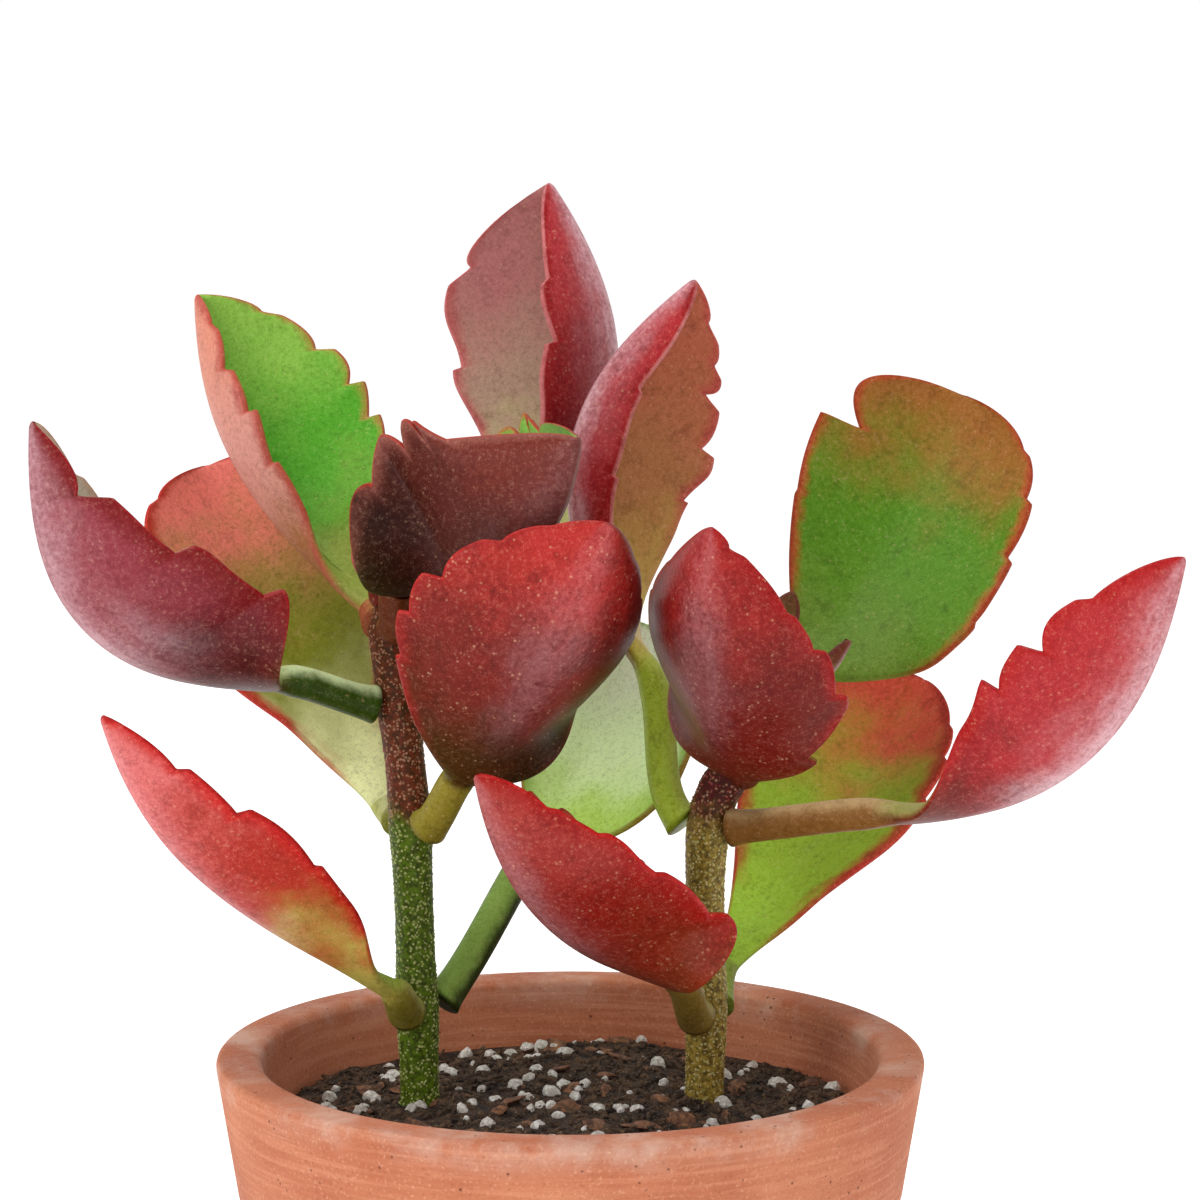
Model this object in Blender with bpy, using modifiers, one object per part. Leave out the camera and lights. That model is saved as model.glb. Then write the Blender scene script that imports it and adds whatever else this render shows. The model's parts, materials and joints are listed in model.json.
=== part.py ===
"""A potted kalanchoe: two leafy stems rooted in potting mix, in a plain clay pot.

Metres, +Z up. The origin is the centre of the pot's foot, on the surface that it stands on.
The camera-facing side of the plant is -Y. Heights of the plant are measured from the mix.
"""

import math

import bmesh
import bpy
import numpy as np
from mathutils import Vector

MM = 0.001
GAP = 0.3 * MM  # between pieces that touch

# Overall size of the plant: 1 is the plant as drawn. It scales where things grow, and the
# length and width of every leaf, but not the thickness of stems, stalks and blades.
GROWTH = 1.0

# Pot, turned in clay, with a band round its mouth
POT_HEIGHT = 90 * MM
POT_MOUTH_RADIUS = 54 * MM
POT_FOOT_RADIUS = 37 * MM
POT_WALL = 4.5 * MM
POT_FLOOR = 5.5 * MM
BAND_HEIGHT = 22 * MM
BAND_STEP = 2.5 * MM
LIP_ROUND = 1.2 * MM
POT_STEPS = 48
HOLE_SIDES = 16
DRAIN_HOLES = 4
DRAIN_RADIUS = 4.5 * MM
DRAIN_CIRCLE = 19 * MM

# Potting mix
MIX_BELOW_RIM = 8 * MM
MIX_CROWN = 2.5 * MM
ROOTED_DEPTH = 26 * MM

# Stems
STEM_RADIUS = 3.05 * MM
NODE_SWELLING = 0.35 * MM
STEM_TIP_RADIUS = 1.5 * MM
ROOT_NECK_RADIUS = 3.3 * MM
ROOT_END_RADIUS = 1.5 * MM
STEM_POINT_SPACING = 3.2 * MM

# Leaves
STALK_HALF_WIDTH = 2.6 * MM
STALK_HALF_DEPTH = 2.45 * MM
BLADE_THICKNESS = 2.2 * MM
RIM_THICKNESS_SHARE = 0.55
TIP_THINNING = 0.45  # share of the blade's thickness lost by its tip
MOST_CLIMB = math.radians(40)  # of a stalk where it leaves the stem
FITTING_PASSES = 5  # that bring a stalk's start up to its stem
STALK_EASE = 0.35  # share of a stalk's reach over which each of its ends keeps its direction

# Where along a leaf its shape changes, as shares of the blade's length from the neck, which is
# 0; the stalk runs from -1 to 0
OPEN_BY = 0.28  # the halves have risen to their full fold
FLAT_FROM, FLAT_BY = -0.25, 0.2  # the round stalk turns into the flat blade
SWEPT_FROM, SWEPT_BY = 0.05, 0.6  # the backward sweep of the edges fades out
THIN_FROM = 0.6

# Teeth of a leaf's edge. Each rises toward the tip to its point and drops into a notch after it.
TEETH_START = 0.34  # share of the blade's length
TOOTH_CUT = 0.1  # depth of a notch, as a share of the half's width
NOTCH_AFTER = 0.18  # share of a tooth's length, past its point

# How finely a leaf is drawn, as shares of its stalk's and its blade's length
STALK_ROWS = (-1, -0.8, -0.6, -0.4, -0.2)
BASE_ROWS = (0, 0.05, 0.11, 0.22)
TOOTH_ROWS = (0.01, NOTCH_AFTER, 0.6)
TIP_ROWS = (0.955, 0.99)
LAST_TOOTH_ROW = 0.935
ACROSS = (-1, -0.9, -0.5, 0, 0.5, 0.9, 1)

MIX_LEVEL = POT_HEIGHT - MIX_BELOW_RIM


def unit(v):
    return v / np.linalg.norm(v)


def in_world(point_mm):
    """A point of the plant, in millimetres from the middle of the mix, in world metres."""
    point = np.array(point_mm, float) * MM * GROWTH
    point[2] += MIX_LEVEL
    return point


# ---------------------------------------------------------------- scene


def clear_scene():
    for obj in list(bpy.data.objects):
        bpy.data.objects.remove(obj, do_unlink=True)


def new_collection(name):
    collection = bpy.data.collections.new(name)
    bpy.context.scene.collection.children.link(collection)
    return collection


def material(name, colour, roughness):
    made = bpy.data.materials.new(name)
    made.use_nodes = True
    shader = made.node_tree.nodes["Principled BSDF"]
    shader.inputs["Base Color"].default_value = (*colour, 1)
    shader.inputs["Roughness"].default_value = roughness
    shader.inputs["Metallic"].default_value = 0
    return made


def mesh_object(name, bm, collection, finish=None, smooth=True):
    mesh = bpy.data.meshes.new(name)
    bm.to_mesh(mesh)
    bm.free()
    if smooth:
        mesh.shade_smooth()
        mesh.set_sharp_from_angle(angle=math.radians(50))
    obj = bpy.data.objects.new(name, mesh)
    if finish:
        mesh.materials.append(finish)
    collection.objects.link(obj)
    return obj


def turned(name, profile, steps, collection, finish):
    """A profile of (radius, height) at +X, running down its outer side, turned about Z."""
    bm = bmesh.new()
    points = [bm.verts.new((r, 0, z)) for r, z in profile]
    for first, second in zip(points, points[1:]):
        bm.edges.new((first, second))
    obj = mesh_object(name, bm, collection, finish, smooth=False)
    screw = obj.modifiers.new("turn", "SCREW")
    screw.steps = steps
    screw.render_steps = steps
    screw.use_merge_vertices = True
    screw.merge_threshold = 0.00005
    screw.use_smooth_shade = True
    return obj


def cutter(name, radius, low, high, place, sides, collection):
    """An upright cylinder that cuts a hole, from low to high."""
    bm = bmesh.new()
    bmesh.ops.create_cone(
        bm, cap_ends=True, segments=sides, radius1=radius, radius2=radius, depth=high - low
    )
    bmesh.ops.translate(bm, vec=(*place, (low + high) / 2), verts=bm.verts)
    obj = mesh_object(name, bm, collection, smooth=False)
    obj.hide_render = True
    obj.display_type = "WIRE"
    return obj


def cut(obj, tool):
    boolean = obj.modifiers.new(tool.name, "BOOLEAN")
    boolean.operation = "DIFFERENCE"
    boolean.object = tool


# ---------------------------------------------------------------- pot and mix


def outer_radius(height):
    """Radius of the pot's tapered body, under the band."""
    top = POT_MOUTH_RADIUS - BAND_STEP
    return POT_FOOT_RADIUS + (top - POT_FOOT_RADIUS) * height / POT_HEIGHT


def inner_radius(height):
    return outer_radius(height) - POT_WALL


def make_pot(collection, cutters, finish):
    band_low = POT_HEIGHT - BAND_HEIGHT
    profile = [
        (0, POT_FLOOR),
        (inner_radius(POT_FLOOR), POT_FLOOR),
        (inner_radius(POT_HEIGHT - LIP_ROUND), POT_HEIGHT - LIP_ROUND),
        (inner_radius(POT_HEIGHT) + LIP_ROUND, POT_HEIGHT),
        (POT_MOUTH_RADIUS - LIP_ROUND, POT_HEIGHT),
        (POT_MOUTH_RADIUS, POT_HEIGHT - LIP_ROUND),
        (outer_radius(band_low) + BAND_STEP, band_low + LIP_ROUND / 2),
        (outer_radius(band_low) + BAND_STEP - LIP_ROUND / 2, band_low),
        (outer_radius(band_low), band_low),
        (outer_radius(LIP_ROUND), LIP_ROUND),
        (POT_FOOT_RADIUS - LIP_ROUND, 0),
        (0, 0),
    ]
    pot = turned("pot", profile, POT_STEPS, collection, finish)
    for k in range(DRAIN_HOLES):
        angle = math.tau * (k + 0.5) / DRAIN_HOLES
        place = (DRAIN_CIRCLE * math.cos(angle), DRAIN_CIRCLE * math.sin(angle))
        low, high = -POT_FLOOR, 2 * POT_FLOOR
        cut(pot, cutter(f"drain_cutter_{k + 1}", DRAIN_RADIUS, low, high, place, HOLE_SIDES, cutters))
    return pot


def make_mix(collection, cutters, finish, stems):
    low = POT_FLOOR + GAP
    edge = MIX_LEVEL - MIX_CROWN
    reach = inner_radius(edge) - GAP
    crown = [(share * reach, MIX_LEVEL - MIX_CROWN * share**2) for share in (0, 0.35, 0.7, 1)]
    profile = [*crown, (inner_radius(low) - GAP, low), (0, low)]
    mix = turned("potting_mix", profile, POT_STEPS, collection, finish)
    for stem in stems:
        bottom = MIX_LEVEL - ROOTED_DEPTH - GAP
        top = MIX_LEVEL + MIX_CROWN
        hole = ROOT_NECK_RADIUS + 2 * GAP
        place = stem.level[:2]
        cut(mix, cutter(f"{stem.name}_cutter", hole, bottom, top, place, HOLE_SIDES, cutters))
    return mix


# ---------------------------------------------------------------- stems


def smooth_path(points, spacing):
    """Evenly spaced points of a smooth curve through these (Catmull-Rom)."""
    ends = [2 * points[0] - points[1], *points, 2 * points[-1] - points[-2]]
    dense = []
    for a, b, c, d in zip(ends, ends[1:], ends[2:], ends[3:]):
        for t in np.linspace(0, 1, 12, endpoint=False):
            dense.append(
                0.5 * (2 * b + (c - a) * t + (2 * a - 5 * b + 4 * c - d) * t**2)
                + 0.5 * (3 * b - a - 3 * c + d) * t**3
            )
    dense.append(points[-1])
    dense = np.array(dense)
    run = np.concatenate([[0], np.cumsum(np.linalg.norm(np.diff(dense, axis=0), axis=1))])
    even = np.linspace(0, run[-1], max(4, round(run[-1] / spacing)))
    return np.stack([np.interp(even, run, dense[:, k]) for k in range(3)], axis=1)


class Stem:
    """An upright stem through its joints, which ends in its growing tip. Points are in plant
    millimetres."""

    def __init__(self, name, soil_point, joints, tip):
        self.name = name
        self.level = in_world(soil_point)
        self.joints = [in_world(joint) for joint in joints]
        self.tip = in_world(tip)
        root = self.level - np.array([0, 0, ROOTED_DEPTH])
        self.path = smooth_path([root, self.level, *self.joints, self.tip], STEM_POINT_SPACING)

    def centre(self, height):
        """The centreline's point at a world height."""
        return np.array([np.interp(height, self.path[:, 2], self.path[:, k]) for k in range(3)])

    def radius(self, height):
        """Radius at a world height: the rooted end, the stem with its swollen joints, the tip."""
        if height < MIX_LEVEL:
            depth = (MIX_LEVEL - height) / ROOTED_DEPTH
            return ROOT_NECK_RADIUS + (ROOT_END_RADIUS - ROOT_NECK_RADIUS) * depth
        top = self.joints[-1][2]
        if height > top:
            share = (height - top) / (self.tip[2] - top)
            return STEM_RADIUS + (STEM_TIP_RADIUS - STEM_RADIUS) * share
        radius = STEM_RADIUS
        for joint in self.joints:
            away = (height - joint[2]) / (2 * STEM_RADIUS)
            radius += NODE_SWELLING * math.exp(-(away**2))
        return radius

    def gap(self, point):
        """How far a point lies outside the stem's surface, at the point's own height."""
        away = point - self.centre(point[2])
        return math.hypot(away[0], away[1]) - self.radius(point[2])


def make_stem(stem, collection, finish):
    curve = bpy.data.curves.new(stem.name, "CURVE")
    curve.dimensions = "3D"
    curve.bevel_depth = 1
    curve.bevel_resolution = 3
    curve.use_fill_caps = True
    spline = curve.splines.new("POLY")
    spline.points.add(len(stem.path) - 1)
    for point, place in zip(spline.points, stem.path):
        point.co = (*place, 1)
        point.radius = stem.radius(place[2])
    curve.materials.append(finish)
    obj = bpy.data.objects.new(stem.name, curve)
    collection.objects.link(obj)
    return obj


# ---------------------------------------------------------------- leaves


def bezier(a, b, c, d, t):
    t = np.asarray(t)[:, None]
    return (1 - t) ** 3 * a + 3 * (1 - t) ** 2 * t * b + 3 * (1 - t) * t**2 * c + t**3 * d


def smoothstep(low, high, x):
    t = np.clip((np.asarray(x, float) - low) / (high - low), 0, 1)
    return t * t * (3 - 2 * t)


class Leaf:
    """A fleshy, toothed leaf on a stalk, opposite its twin at a joint of the stem.

    joint       height of the stem's joint
    neck, tip   where the blade starts and ends
    face        the way its upper side looks, at mid length
    halves      widths of the left and the right half of the blade, laid flat
    sag         how far the midrib bows under the line from neck to tip, nearer the neck and
                nearer the tip
    fold        how far the left and the right half rise from flat at the midrib, in degrees
    curl        how much further each half turns before its edge, in degrees
    widest      share of the blade's length where each half is widest
    shoulder    how each half widens from the stalk: over 1 like a wedge, under 1 rounded
    blunt       how each half narrows to the tip: 0.8 pointed, 0.4 broad and round
    back        how far the edges sweep back toward the stem at the blade's base, as a share of
                the width there
    teeth       on each edge
    stalk       thickness of the stalk, as a share of the usual one
    Left and right are those of a person who faces the upper side with the tip up.
    """

    def __init__(self, name, stem, joint, neck, tip, face, halves, sag=(4, 4), fold=(20, 20),
                 curl=(25, 25), widest=(0.55, 0.55), shoulder=(1.3, 1.3), blunt=(0.6, 0.6),
                 back=0, teeth=4, stalk=1.0):
        self.name = name
        self.stem = stem
        self.joint = joint
        self.neck = in_world(neck)
        self.tip = in_world(tip)
        self.face = unit(np.array(face, float))
        self.halves = [w * MM * GROWTH for w in halves]
        self.sag = [s * MM * GROWTH for s in sag]
        self.fold = np.radians(fold)
        self.curl = np.radians(curl)
        self.teeth = teeth
        self.widest = widest
        self.shoulder = shoulder
        self.blunt = blunt
        self.back = back
        self.stalk = stalk
        clear = stem.radius(in_world((0, 0, joint))[2])
        for _ in range(FITTING_PASSES):
            self.shape_spine(clear)
            clear += GAP - self.gap_to_stem()

    def gap_to_stem(self):
        return min(self.stem.gap(p) for share in STALK_ROWS for p in self.section(share))

    def shape_spine(self, clear):
        """The centreline of the stalk and the midrib, and its frame at each fine step. The
        stalk starts this far from the stem's centreline."""
        chord = self.tip - self.neck
        along = unit(chord)
        self.face = unit(self.face - (self.face @ along) * along)
        first = self.neck + chord / 3 - self.face * self.sag[0] * 4 / 3
        second = self.neck + chord * 2 / 3 - self.face * self.sag[1] * 4 / 3
        fine = np.linspace(0, 1, 61)
        blade = bezier(self.neck, first, second, self.tip, fine)
        core = self.stem.centre(in_world((0, 0, self.joint))[2])
        out = self.neck - core
        climb = min(math.atan2(out[2], math.hypot(out[0], out[1])), MOST_CLIMB)
        out[2] = 0
        out = unit(out)
        start = core + out * clear
        reach = np.linalg.norm(self.neck - start)
        leaving = out * math.cos(climb) + np.array([0, 0, math.sin(climb)])
        heading = unit(first - self.neck)
        stalk = bezier(
            start,
            start + leaving * reach * STALK_EASE,
            self.neck - heading * reach * STALK_EASE,
            self.neck,
            fine,
        )
        points = np.concatenate([stalk[:-1], blade])
        self.share = np.concatenate([fine[:-1] - 1, fine])
        tangents = np.gradient(points, axis=0)
        tangents /= np.linalg.norm(tangents, axis=1)[:, None]
        normals = np.zeros_like(points)
        middle = len(stalk) - 1 + 30
        normals[middle] = unit(self.face - (self.face @ tangents[middle]) * tangents[middle])
        for order in (range(middle + 1, len(points)), range(middle - 1, -1, -1)):
            last = normals[middle]
            for k in order:
                last = unit(last - (last @ tangents[k]) * tangents[k])
                normals[k] = last
        self.points, self.tangents, self.normals = points, tangents, normals

    def frame(self, share):
        """(place, tangent, normal, side) at a share of the length."""
        place, tangent, normal = (
            np.array([np.interp(share, self.share, table[:, k]) for k in range(3)])
            for table in (self.points, self.tangents, self.normals)
        )
        tangent = unit(tangent)
        normal = unit(normal - (normal @ tangent) * tangent)
        return place, tangent, normal, np.cross(tangent, normal)

    def outline(self, share, half):
        """Width of the left (0) or the right (1) half before its teeth are cut."""
        neck = STALK_HALF_WIDTH * self.stalk
        widest, blunt = self.widest[half], self.blunt[half]
        if share <= 0:
            return neck
        if share < widest:
            rise = math.sin(math.pi / 2 * share / widest) ** self.shoulder[half]
            return neck + (self.halves[half] - neck) * rise
        fall = (share - widest) / (1 - widest)
        return self.halves[half] * (1 - fall ** (1.5 / blunt)) ** blunt

    def toothed(self, share):
        """Share of the outline's width that the teeth leave."""
        if share < TEETH_START or not self.teeth:
            return 1.0
        phase = (share - TEETH_START) / (1 - TEETH_START) * self.teeth % 1
        if phase < NOTCH_AFTER:
            return 1 - TOOTH_CUT * phase / NOTCH_AFTER
        return 1 - TOOTH_CUT * (1 - phase) / (1 - NOTCH_AFTER)

    def rows(self):
        """Shares of the length that get a section, with each tooth's point and notch."""
        pitch = (1 - TEETH_START) / max(self.teeth, 1)
        toothed = [TEETH_START + pitch * (k + row) for k in range(self.teeth) for row in TOOTH_ROWS]
        spaced = [share for share in toothed if share < LAST_TOOTH_ROW]
        return [*STALK_ROWS, *BASE_ROWS, *spaced, *TIP_ROWS]

    def section(self, share):
        """A ring of points: the upper side from left to right, then the under side back."""
        place, tangent, normal, side = self.frame(share)
        opened = float(smoothstep(0, OPEN_BY, share))
        flatness = float(smoothstep(FLAT_FROM, FLAT_BY, share))
        widths = [self.outline(share, half) * self.toothed(share) for half in (0, 1)]
        sweep = self.back * opened * (1 - float(smoothstep(SWEPT_FROM, SWEPT_BY, share)))
        depth = STALK_HALF_DEPTH * self.stalk
        depth += (BLADE_THICKNESS / 2 - depth) * flatness
        depth *= 1 - TIP_THINNING * float(smoothstep(THIN_FROM, 1, share))
        upper, under = [], []
        for v in ACROSS:
            half = 0 if v < 0 else 1
            reach = abs(v)
            fold = self.fold[half] * opened
            curl = max(self.curl[half] * opened, 1e-4)
            width = widths[half]
            angle = fold + curl * reach
            across = width * (math.sin(angle) - math.sin(fold)) / curl
            rise = width * (math.cos(fold) - math.cos(angle)) / curl
            sign = math.copysign(1, v)
            swept = width * sweep * reach**2
            point = place + side * sign * across + normal * rise - tangent * swept
            tilt = angle if v else 0
            up = normal * math.cos(tilt) - side * sign * math.sin(tilt)
            round_depth = math.sqrt(max(0, 1 - reach**2))
            flat_depth = 0 if reach == 1 else 1 - (1 - RIM_THICKNESS_SHARE) * reach**2
            lift = depth * (round_depth + (flat_depth - round_depth) * flatness)
            upper.append(point + up * lift)
            if reach < 1:
                under.append(point - up * lift)
        return upper + under[::-1]


def make_leaf(leaf, collection, finish):
    bm = bmesh.new()
    rings = [[bm.verts.new(Vector(p)) for p in leaf.section(share)] for share in leaf.rows()]
    for first, second in zip(rings, rings[1:]):
        for k in range(len(first)):
            after = (k + 1) % len(first)
            bm.faces.new((first[k], first[after], second[after], second[k]))
    bm.faces.new(rings[0][::-1])
    bm.faces.new(rings[-1])
    return mesh_object(leaf.name, bm, collection, finish)


# ---------------------------------------------------------------- the plant


left = Stem("stem_left", (-23, 0, 0),
            [(-23.3, 0, 15), (-24.2, 0, 43.4), (-25.9, 0, 61.7), (-27.2, 0, 73.5)], (-27.4, 0, 79))
right = Stem("stem_right", (20.5, 2, 0),
             [(20.7, 2, 13.8), (20.9, 2, 42.5), (26, 2, 53.3)], (28.5, 3, 60))

LEAVES = [
    Leaf("leaf_left_1_front", left, 15, neck=(-27, -10, 20), tip=(-66.7, -30, 64.8),
         face=(0.6, 0.35, 0.7), halves=(15.5, 15), sag=(4, 9), fold=(40, 45), curl=(15, 15),
         widest=(0.5, 0.5), shoulder=(1.4, 1.4), blunt=(0.8, 0.8), back=0.3),
    Leaf("leaf_left_1_back", left, 15, neck=(-5.5, 16, 36.5), tip=(12, 38, 68),
         face=(-0.3, -0.8, 0.5), halves=(16, 20), sag=(3, 3), fold=(25, 10), curl=(20, 20),
         widest=(0.6, 0.35), shoulder=(1.5, 1)),
    Leaf("leaf_left_2_front", left, 43.4, neck=(-16, -10, 52.4), tip=(5.5, -30, 92.7),
         face=(-0.2, 0.9, 0.3), halves=(23, 23), sag=(7, 7), fold=(25, 10), curl=(40, 20),
         widest=(0.5, 0.55), shoulder=(0.75, 1), blunt=(0.6, 0.72), back=0.15),
    Leaf("leaf_left_2_back", left, 43.4, neck=(-28.4, 8, 45.2), tip=(-57, 34, 94),
         face=(0.3, -0.8, 0.4), halves=(22, 18), sag=(3, 3), fold=(15, 15),
         widest=(0.62, 0.62), shoulder=(1.7, 1.7), blunt=(0.45, 0.45)),
    Leaf("leaf_left_3_front", left, 61.7, neck=(-44.2, -8, 66.4), tip=(-76.7, -24, 106.5),
         face=(0.6, 0.35, 0.7), halves=(23.5, 22.5), sag=(14.5, 14.5), fold=(40, 47), curl=(25, 15),
         widest=(0.4, 0.4), shoulder=(0.6, 0.6), blunt=(0.85, 0.62), back=0.6),
    Leaf("leaf_left_3_back", left, 61.7, neck=(-5, 24, 77), tip=(-3.8, 44, 137.8),
         face=(-0.86, -0.5, 0.15), halves=(26, 18), sag=(11, 14), fold=(45, 60),
         curl=(15, 25), widest=(0.6, 0.5), shoulder=(0.95, 0.6), blunt=(0.35, 0.6)),
    Leaf("leaf_left_4_front", left, 73.5, neck=(-24.8, -7, 80.5), tip=(1.2, -26, 104.4),
         face=(-0.45, 0.35, 0.8), halves=(32, 27.5), sag=(8, 9), fold=(46, 74), curl=(12, 14),
         widest=(0.5, 0.45), shoulder=(0.6, 0.6), blunt=(0.5, 0.6), back=0.45),
    Leaf("leaf_left_4_back", left, 73.5, neck=(-30.3, 6, 75.7), tip=(-57.5, 24, 121.5),
         face=(0.72, -0.5, 0.48), halves=(12, 23), sag=(7, 9.5), fold=(55, 45), curl=(25, 10),
         widest=(0.6, 0.5), shoulder=(1.7, 1), blunt=(0.45, 0.52)),
    Leaf("leaf_right_1_front", right, 13.8, neck=(14.2, -14, 23), tip=(-12.9, -38, 57.6),
         face=(0.6, 0.3, 0.7), halves=(20.5, 19), sag=(7, 7), fold=(40, 50), curl=(20, 20),
         widest=(0.35, 0.35), shoulder=(0.6, 0.6), blunt=(0.7, 0.7), back=0.7),
    Leaf("leaf_right_1_back", right, 13.8, neck=(23.9, 12, 19.3), tip=(56.6, 40, 58.7),
         face=(-0.3, -0.8, 0.5), halves=(18, 16), sag=(3, 3), fold=(15, 15),
         widest=(0.62, 0.62), shoulder=(1.7, 1.7)),
    Leaf("leaf_right_2_front", right, 42.5, neck=(49, -12, 47), tip=(87.6, -30, 87.7),
         face=(-0.6, 0.35, 0.7), halves=(21, 21.5), sag=(12.5, 11), fold=(50, 40), curl=(20, 20),
         shoulder=(1, 1),
         blunt=(0.65, 0.65)),
    Leaf("leaf_right_2_back", right, 42.5, neck=(10.8, 8.8, 67), tip=(19.3, 21.5, 123.8),
         face=(0.93, -0.25, 0.15), halves=(9, 24), sag=(15, 15.5), fold=(65, 42),
         curl=(25, 10), widest=(0.55, 0.6), shoulder=(1.3, 0.9), blunt=(0.6, 0.62)),
    Leaf("leaf_right_3_front", right, 53.3, neck=(25.6, -8, 52.5), tip=(20.6, -26, 91.5),
         face=(0.4, 0.8, 0.4), halves=(20, 23), sag=(8, 8), fold=(15, 30), curl=(25, 35),
         widest=(0.35, 0.5), shoulder=(0.65, 0.9), blunt=(0.8, 0.65), back=0.2),
    Leaf("leaf_right_3_back", right, 53.3, neck=(37.5, 14, 64), tip=(61.3, 36, 105),
         face=(-0.2, -0.9, 0.3), halves=(19, 22.5), sag=(3, 3), fold=(10, 10),
         widest=(0.75, 0.4), shoulder=(1.3, 0.8), blunt=(0.38, 0.45), back=0.3),
    Leaf("bud_left_front", left, 77.5, neck=(-29.5, -2.5, 80.5), tip=(-31.8, -4.5, 86),
         face=(0.5, 0.4, 0.7), halves=(2.5, 2.5), sag=(0.5, 0.5), teeth=0, stalk=0.4),
    Leaf("bud_left_back", left, 77.5, neck=(-25, 2.5, 80.5), tip=(-22.5, 4.5, 88),
         face=(-0.5, -0.4, 0.7), halves=(3, 3), sag=(0.5, 0.5), teeth=0, stalk=0.4),
    Leaf("bud_right_front", right, 58.5, neck=(32.5, 0.5, 62), tip=(41.8, -2, 71.5),
         face=(-0.5, 0.2, 0.7), halves=(2.5, 2.5), sag=(1, 1), teeth=0, stalk=0.45),
    Leaf("bud_right_back", right, 58.5, neck=(28.5, 6.5, 65), tip=(33.8, 7, 77.5),
         face=(0.2, -0.8, 0.3), halves=(3, 3), sag=(1, 1), teeth=0, stalk=0.45),
]


def main():
    clear_scene()
    parts = new_collection("potted_kalanchoe")
    cutters = new_collection("cutters")
    cutters.hide_render = True
    clay = material("clay", (0.55, 0.27, 0.16), 0.85)
    mix = material("potting_mix", (0.06, 0.04, 0.03), 0.95)
    bark = material("stem", (0.28, 0.24, 0.08), 0.6)
    flesh = material("leaf", (0.4, 0.12, 0.1), 0.45)
    make_pot(parts, cutters, clay)
    make_mix(parts, cutters, mix, (left, right))
    for stem in (left, right):
        make_stem(stem, parts, bark)
    for leaf in LEAVES:
        make_leaf(leaf, parts, flesh)


main()
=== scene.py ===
"""A potted kalanchoe: two leafy stems with folded, toothed leaves, in a clay pot.

Metres, +Z up. The side that faces the viewer is -Y.
"""

import json
import math

import bmesh
import bpy
import numpy as np
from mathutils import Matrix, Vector

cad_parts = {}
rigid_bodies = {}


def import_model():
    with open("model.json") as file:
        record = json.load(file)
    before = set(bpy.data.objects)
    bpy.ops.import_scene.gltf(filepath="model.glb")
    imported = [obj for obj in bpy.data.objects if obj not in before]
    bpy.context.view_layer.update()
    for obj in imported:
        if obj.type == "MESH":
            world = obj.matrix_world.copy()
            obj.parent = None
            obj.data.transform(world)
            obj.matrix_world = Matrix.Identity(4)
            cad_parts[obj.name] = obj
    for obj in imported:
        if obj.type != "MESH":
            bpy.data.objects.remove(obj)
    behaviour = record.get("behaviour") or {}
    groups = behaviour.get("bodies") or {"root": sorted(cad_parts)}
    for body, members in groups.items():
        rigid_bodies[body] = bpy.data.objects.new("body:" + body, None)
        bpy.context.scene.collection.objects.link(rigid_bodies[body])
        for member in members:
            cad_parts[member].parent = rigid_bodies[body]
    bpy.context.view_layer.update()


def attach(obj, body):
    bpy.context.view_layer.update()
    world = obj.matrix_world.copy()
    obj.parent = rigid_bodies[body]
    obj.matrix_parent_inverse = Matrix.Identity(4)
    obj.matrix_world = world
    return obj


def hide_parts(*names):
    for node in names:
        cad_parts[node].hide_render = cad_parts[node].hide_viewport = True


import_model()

# ---------------------------------------------------------------- table, light and camera
# A pale matt table top under a big soft lamp and a smaller one, in a white room. The camera
# looks at the leaves from a little above, close enough that the pot runs out of view.


class Wire:
    """An output of a node, which sums can be written with."""

    def __init__(self, nodes, socket):
        self.nodes = nodes
        self.socket = socket

    def beside(self, output):
        """Another output of the same node."""
        return Wire(self.nodes, self.socket.node.outputs[output])

    def __add__(self, other):
        return self.nodes.sum("ADD", self, other)

    __radd__ = __add__

    def __sub__(self, other):
        return self.nodes.sum("SUBTRACT", self, other)

    def __rsub__(self, other):
        return self.nodes.sum("SUBTRACT", other, self)

    def __mul__(self, other):
        return self.nodes.sum("MULTIPLY", self, other)

    __rmul__ = __mul__


class Nodes:
    """A tree that gets each node with its settings, and with the values or wires it reads."""

    def __init__(self, tree):
        self.tree = tree

    def node(self, kind, settings=None, values=None, output=0):
        made = self.tree.nodes.new(kind)
        for setting, value in (settings or {}).items():
            setattr(made, setting, value)
        for socket, value in (values or {}).items():
            self.feed(made.inputs[socket], value)
        return Wire(self, made.outputs[output])

    def feed(self, socket, value):
        if isinstance(value, Wire):
            self.tree.links.new(value.socket, socket)
        else:
            socket.default_value = value

    def sum(self, operation, *values):
        return self.node("ShaderNodeMath", {"operation": operation}, dict(enumerate(values)))


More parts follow.
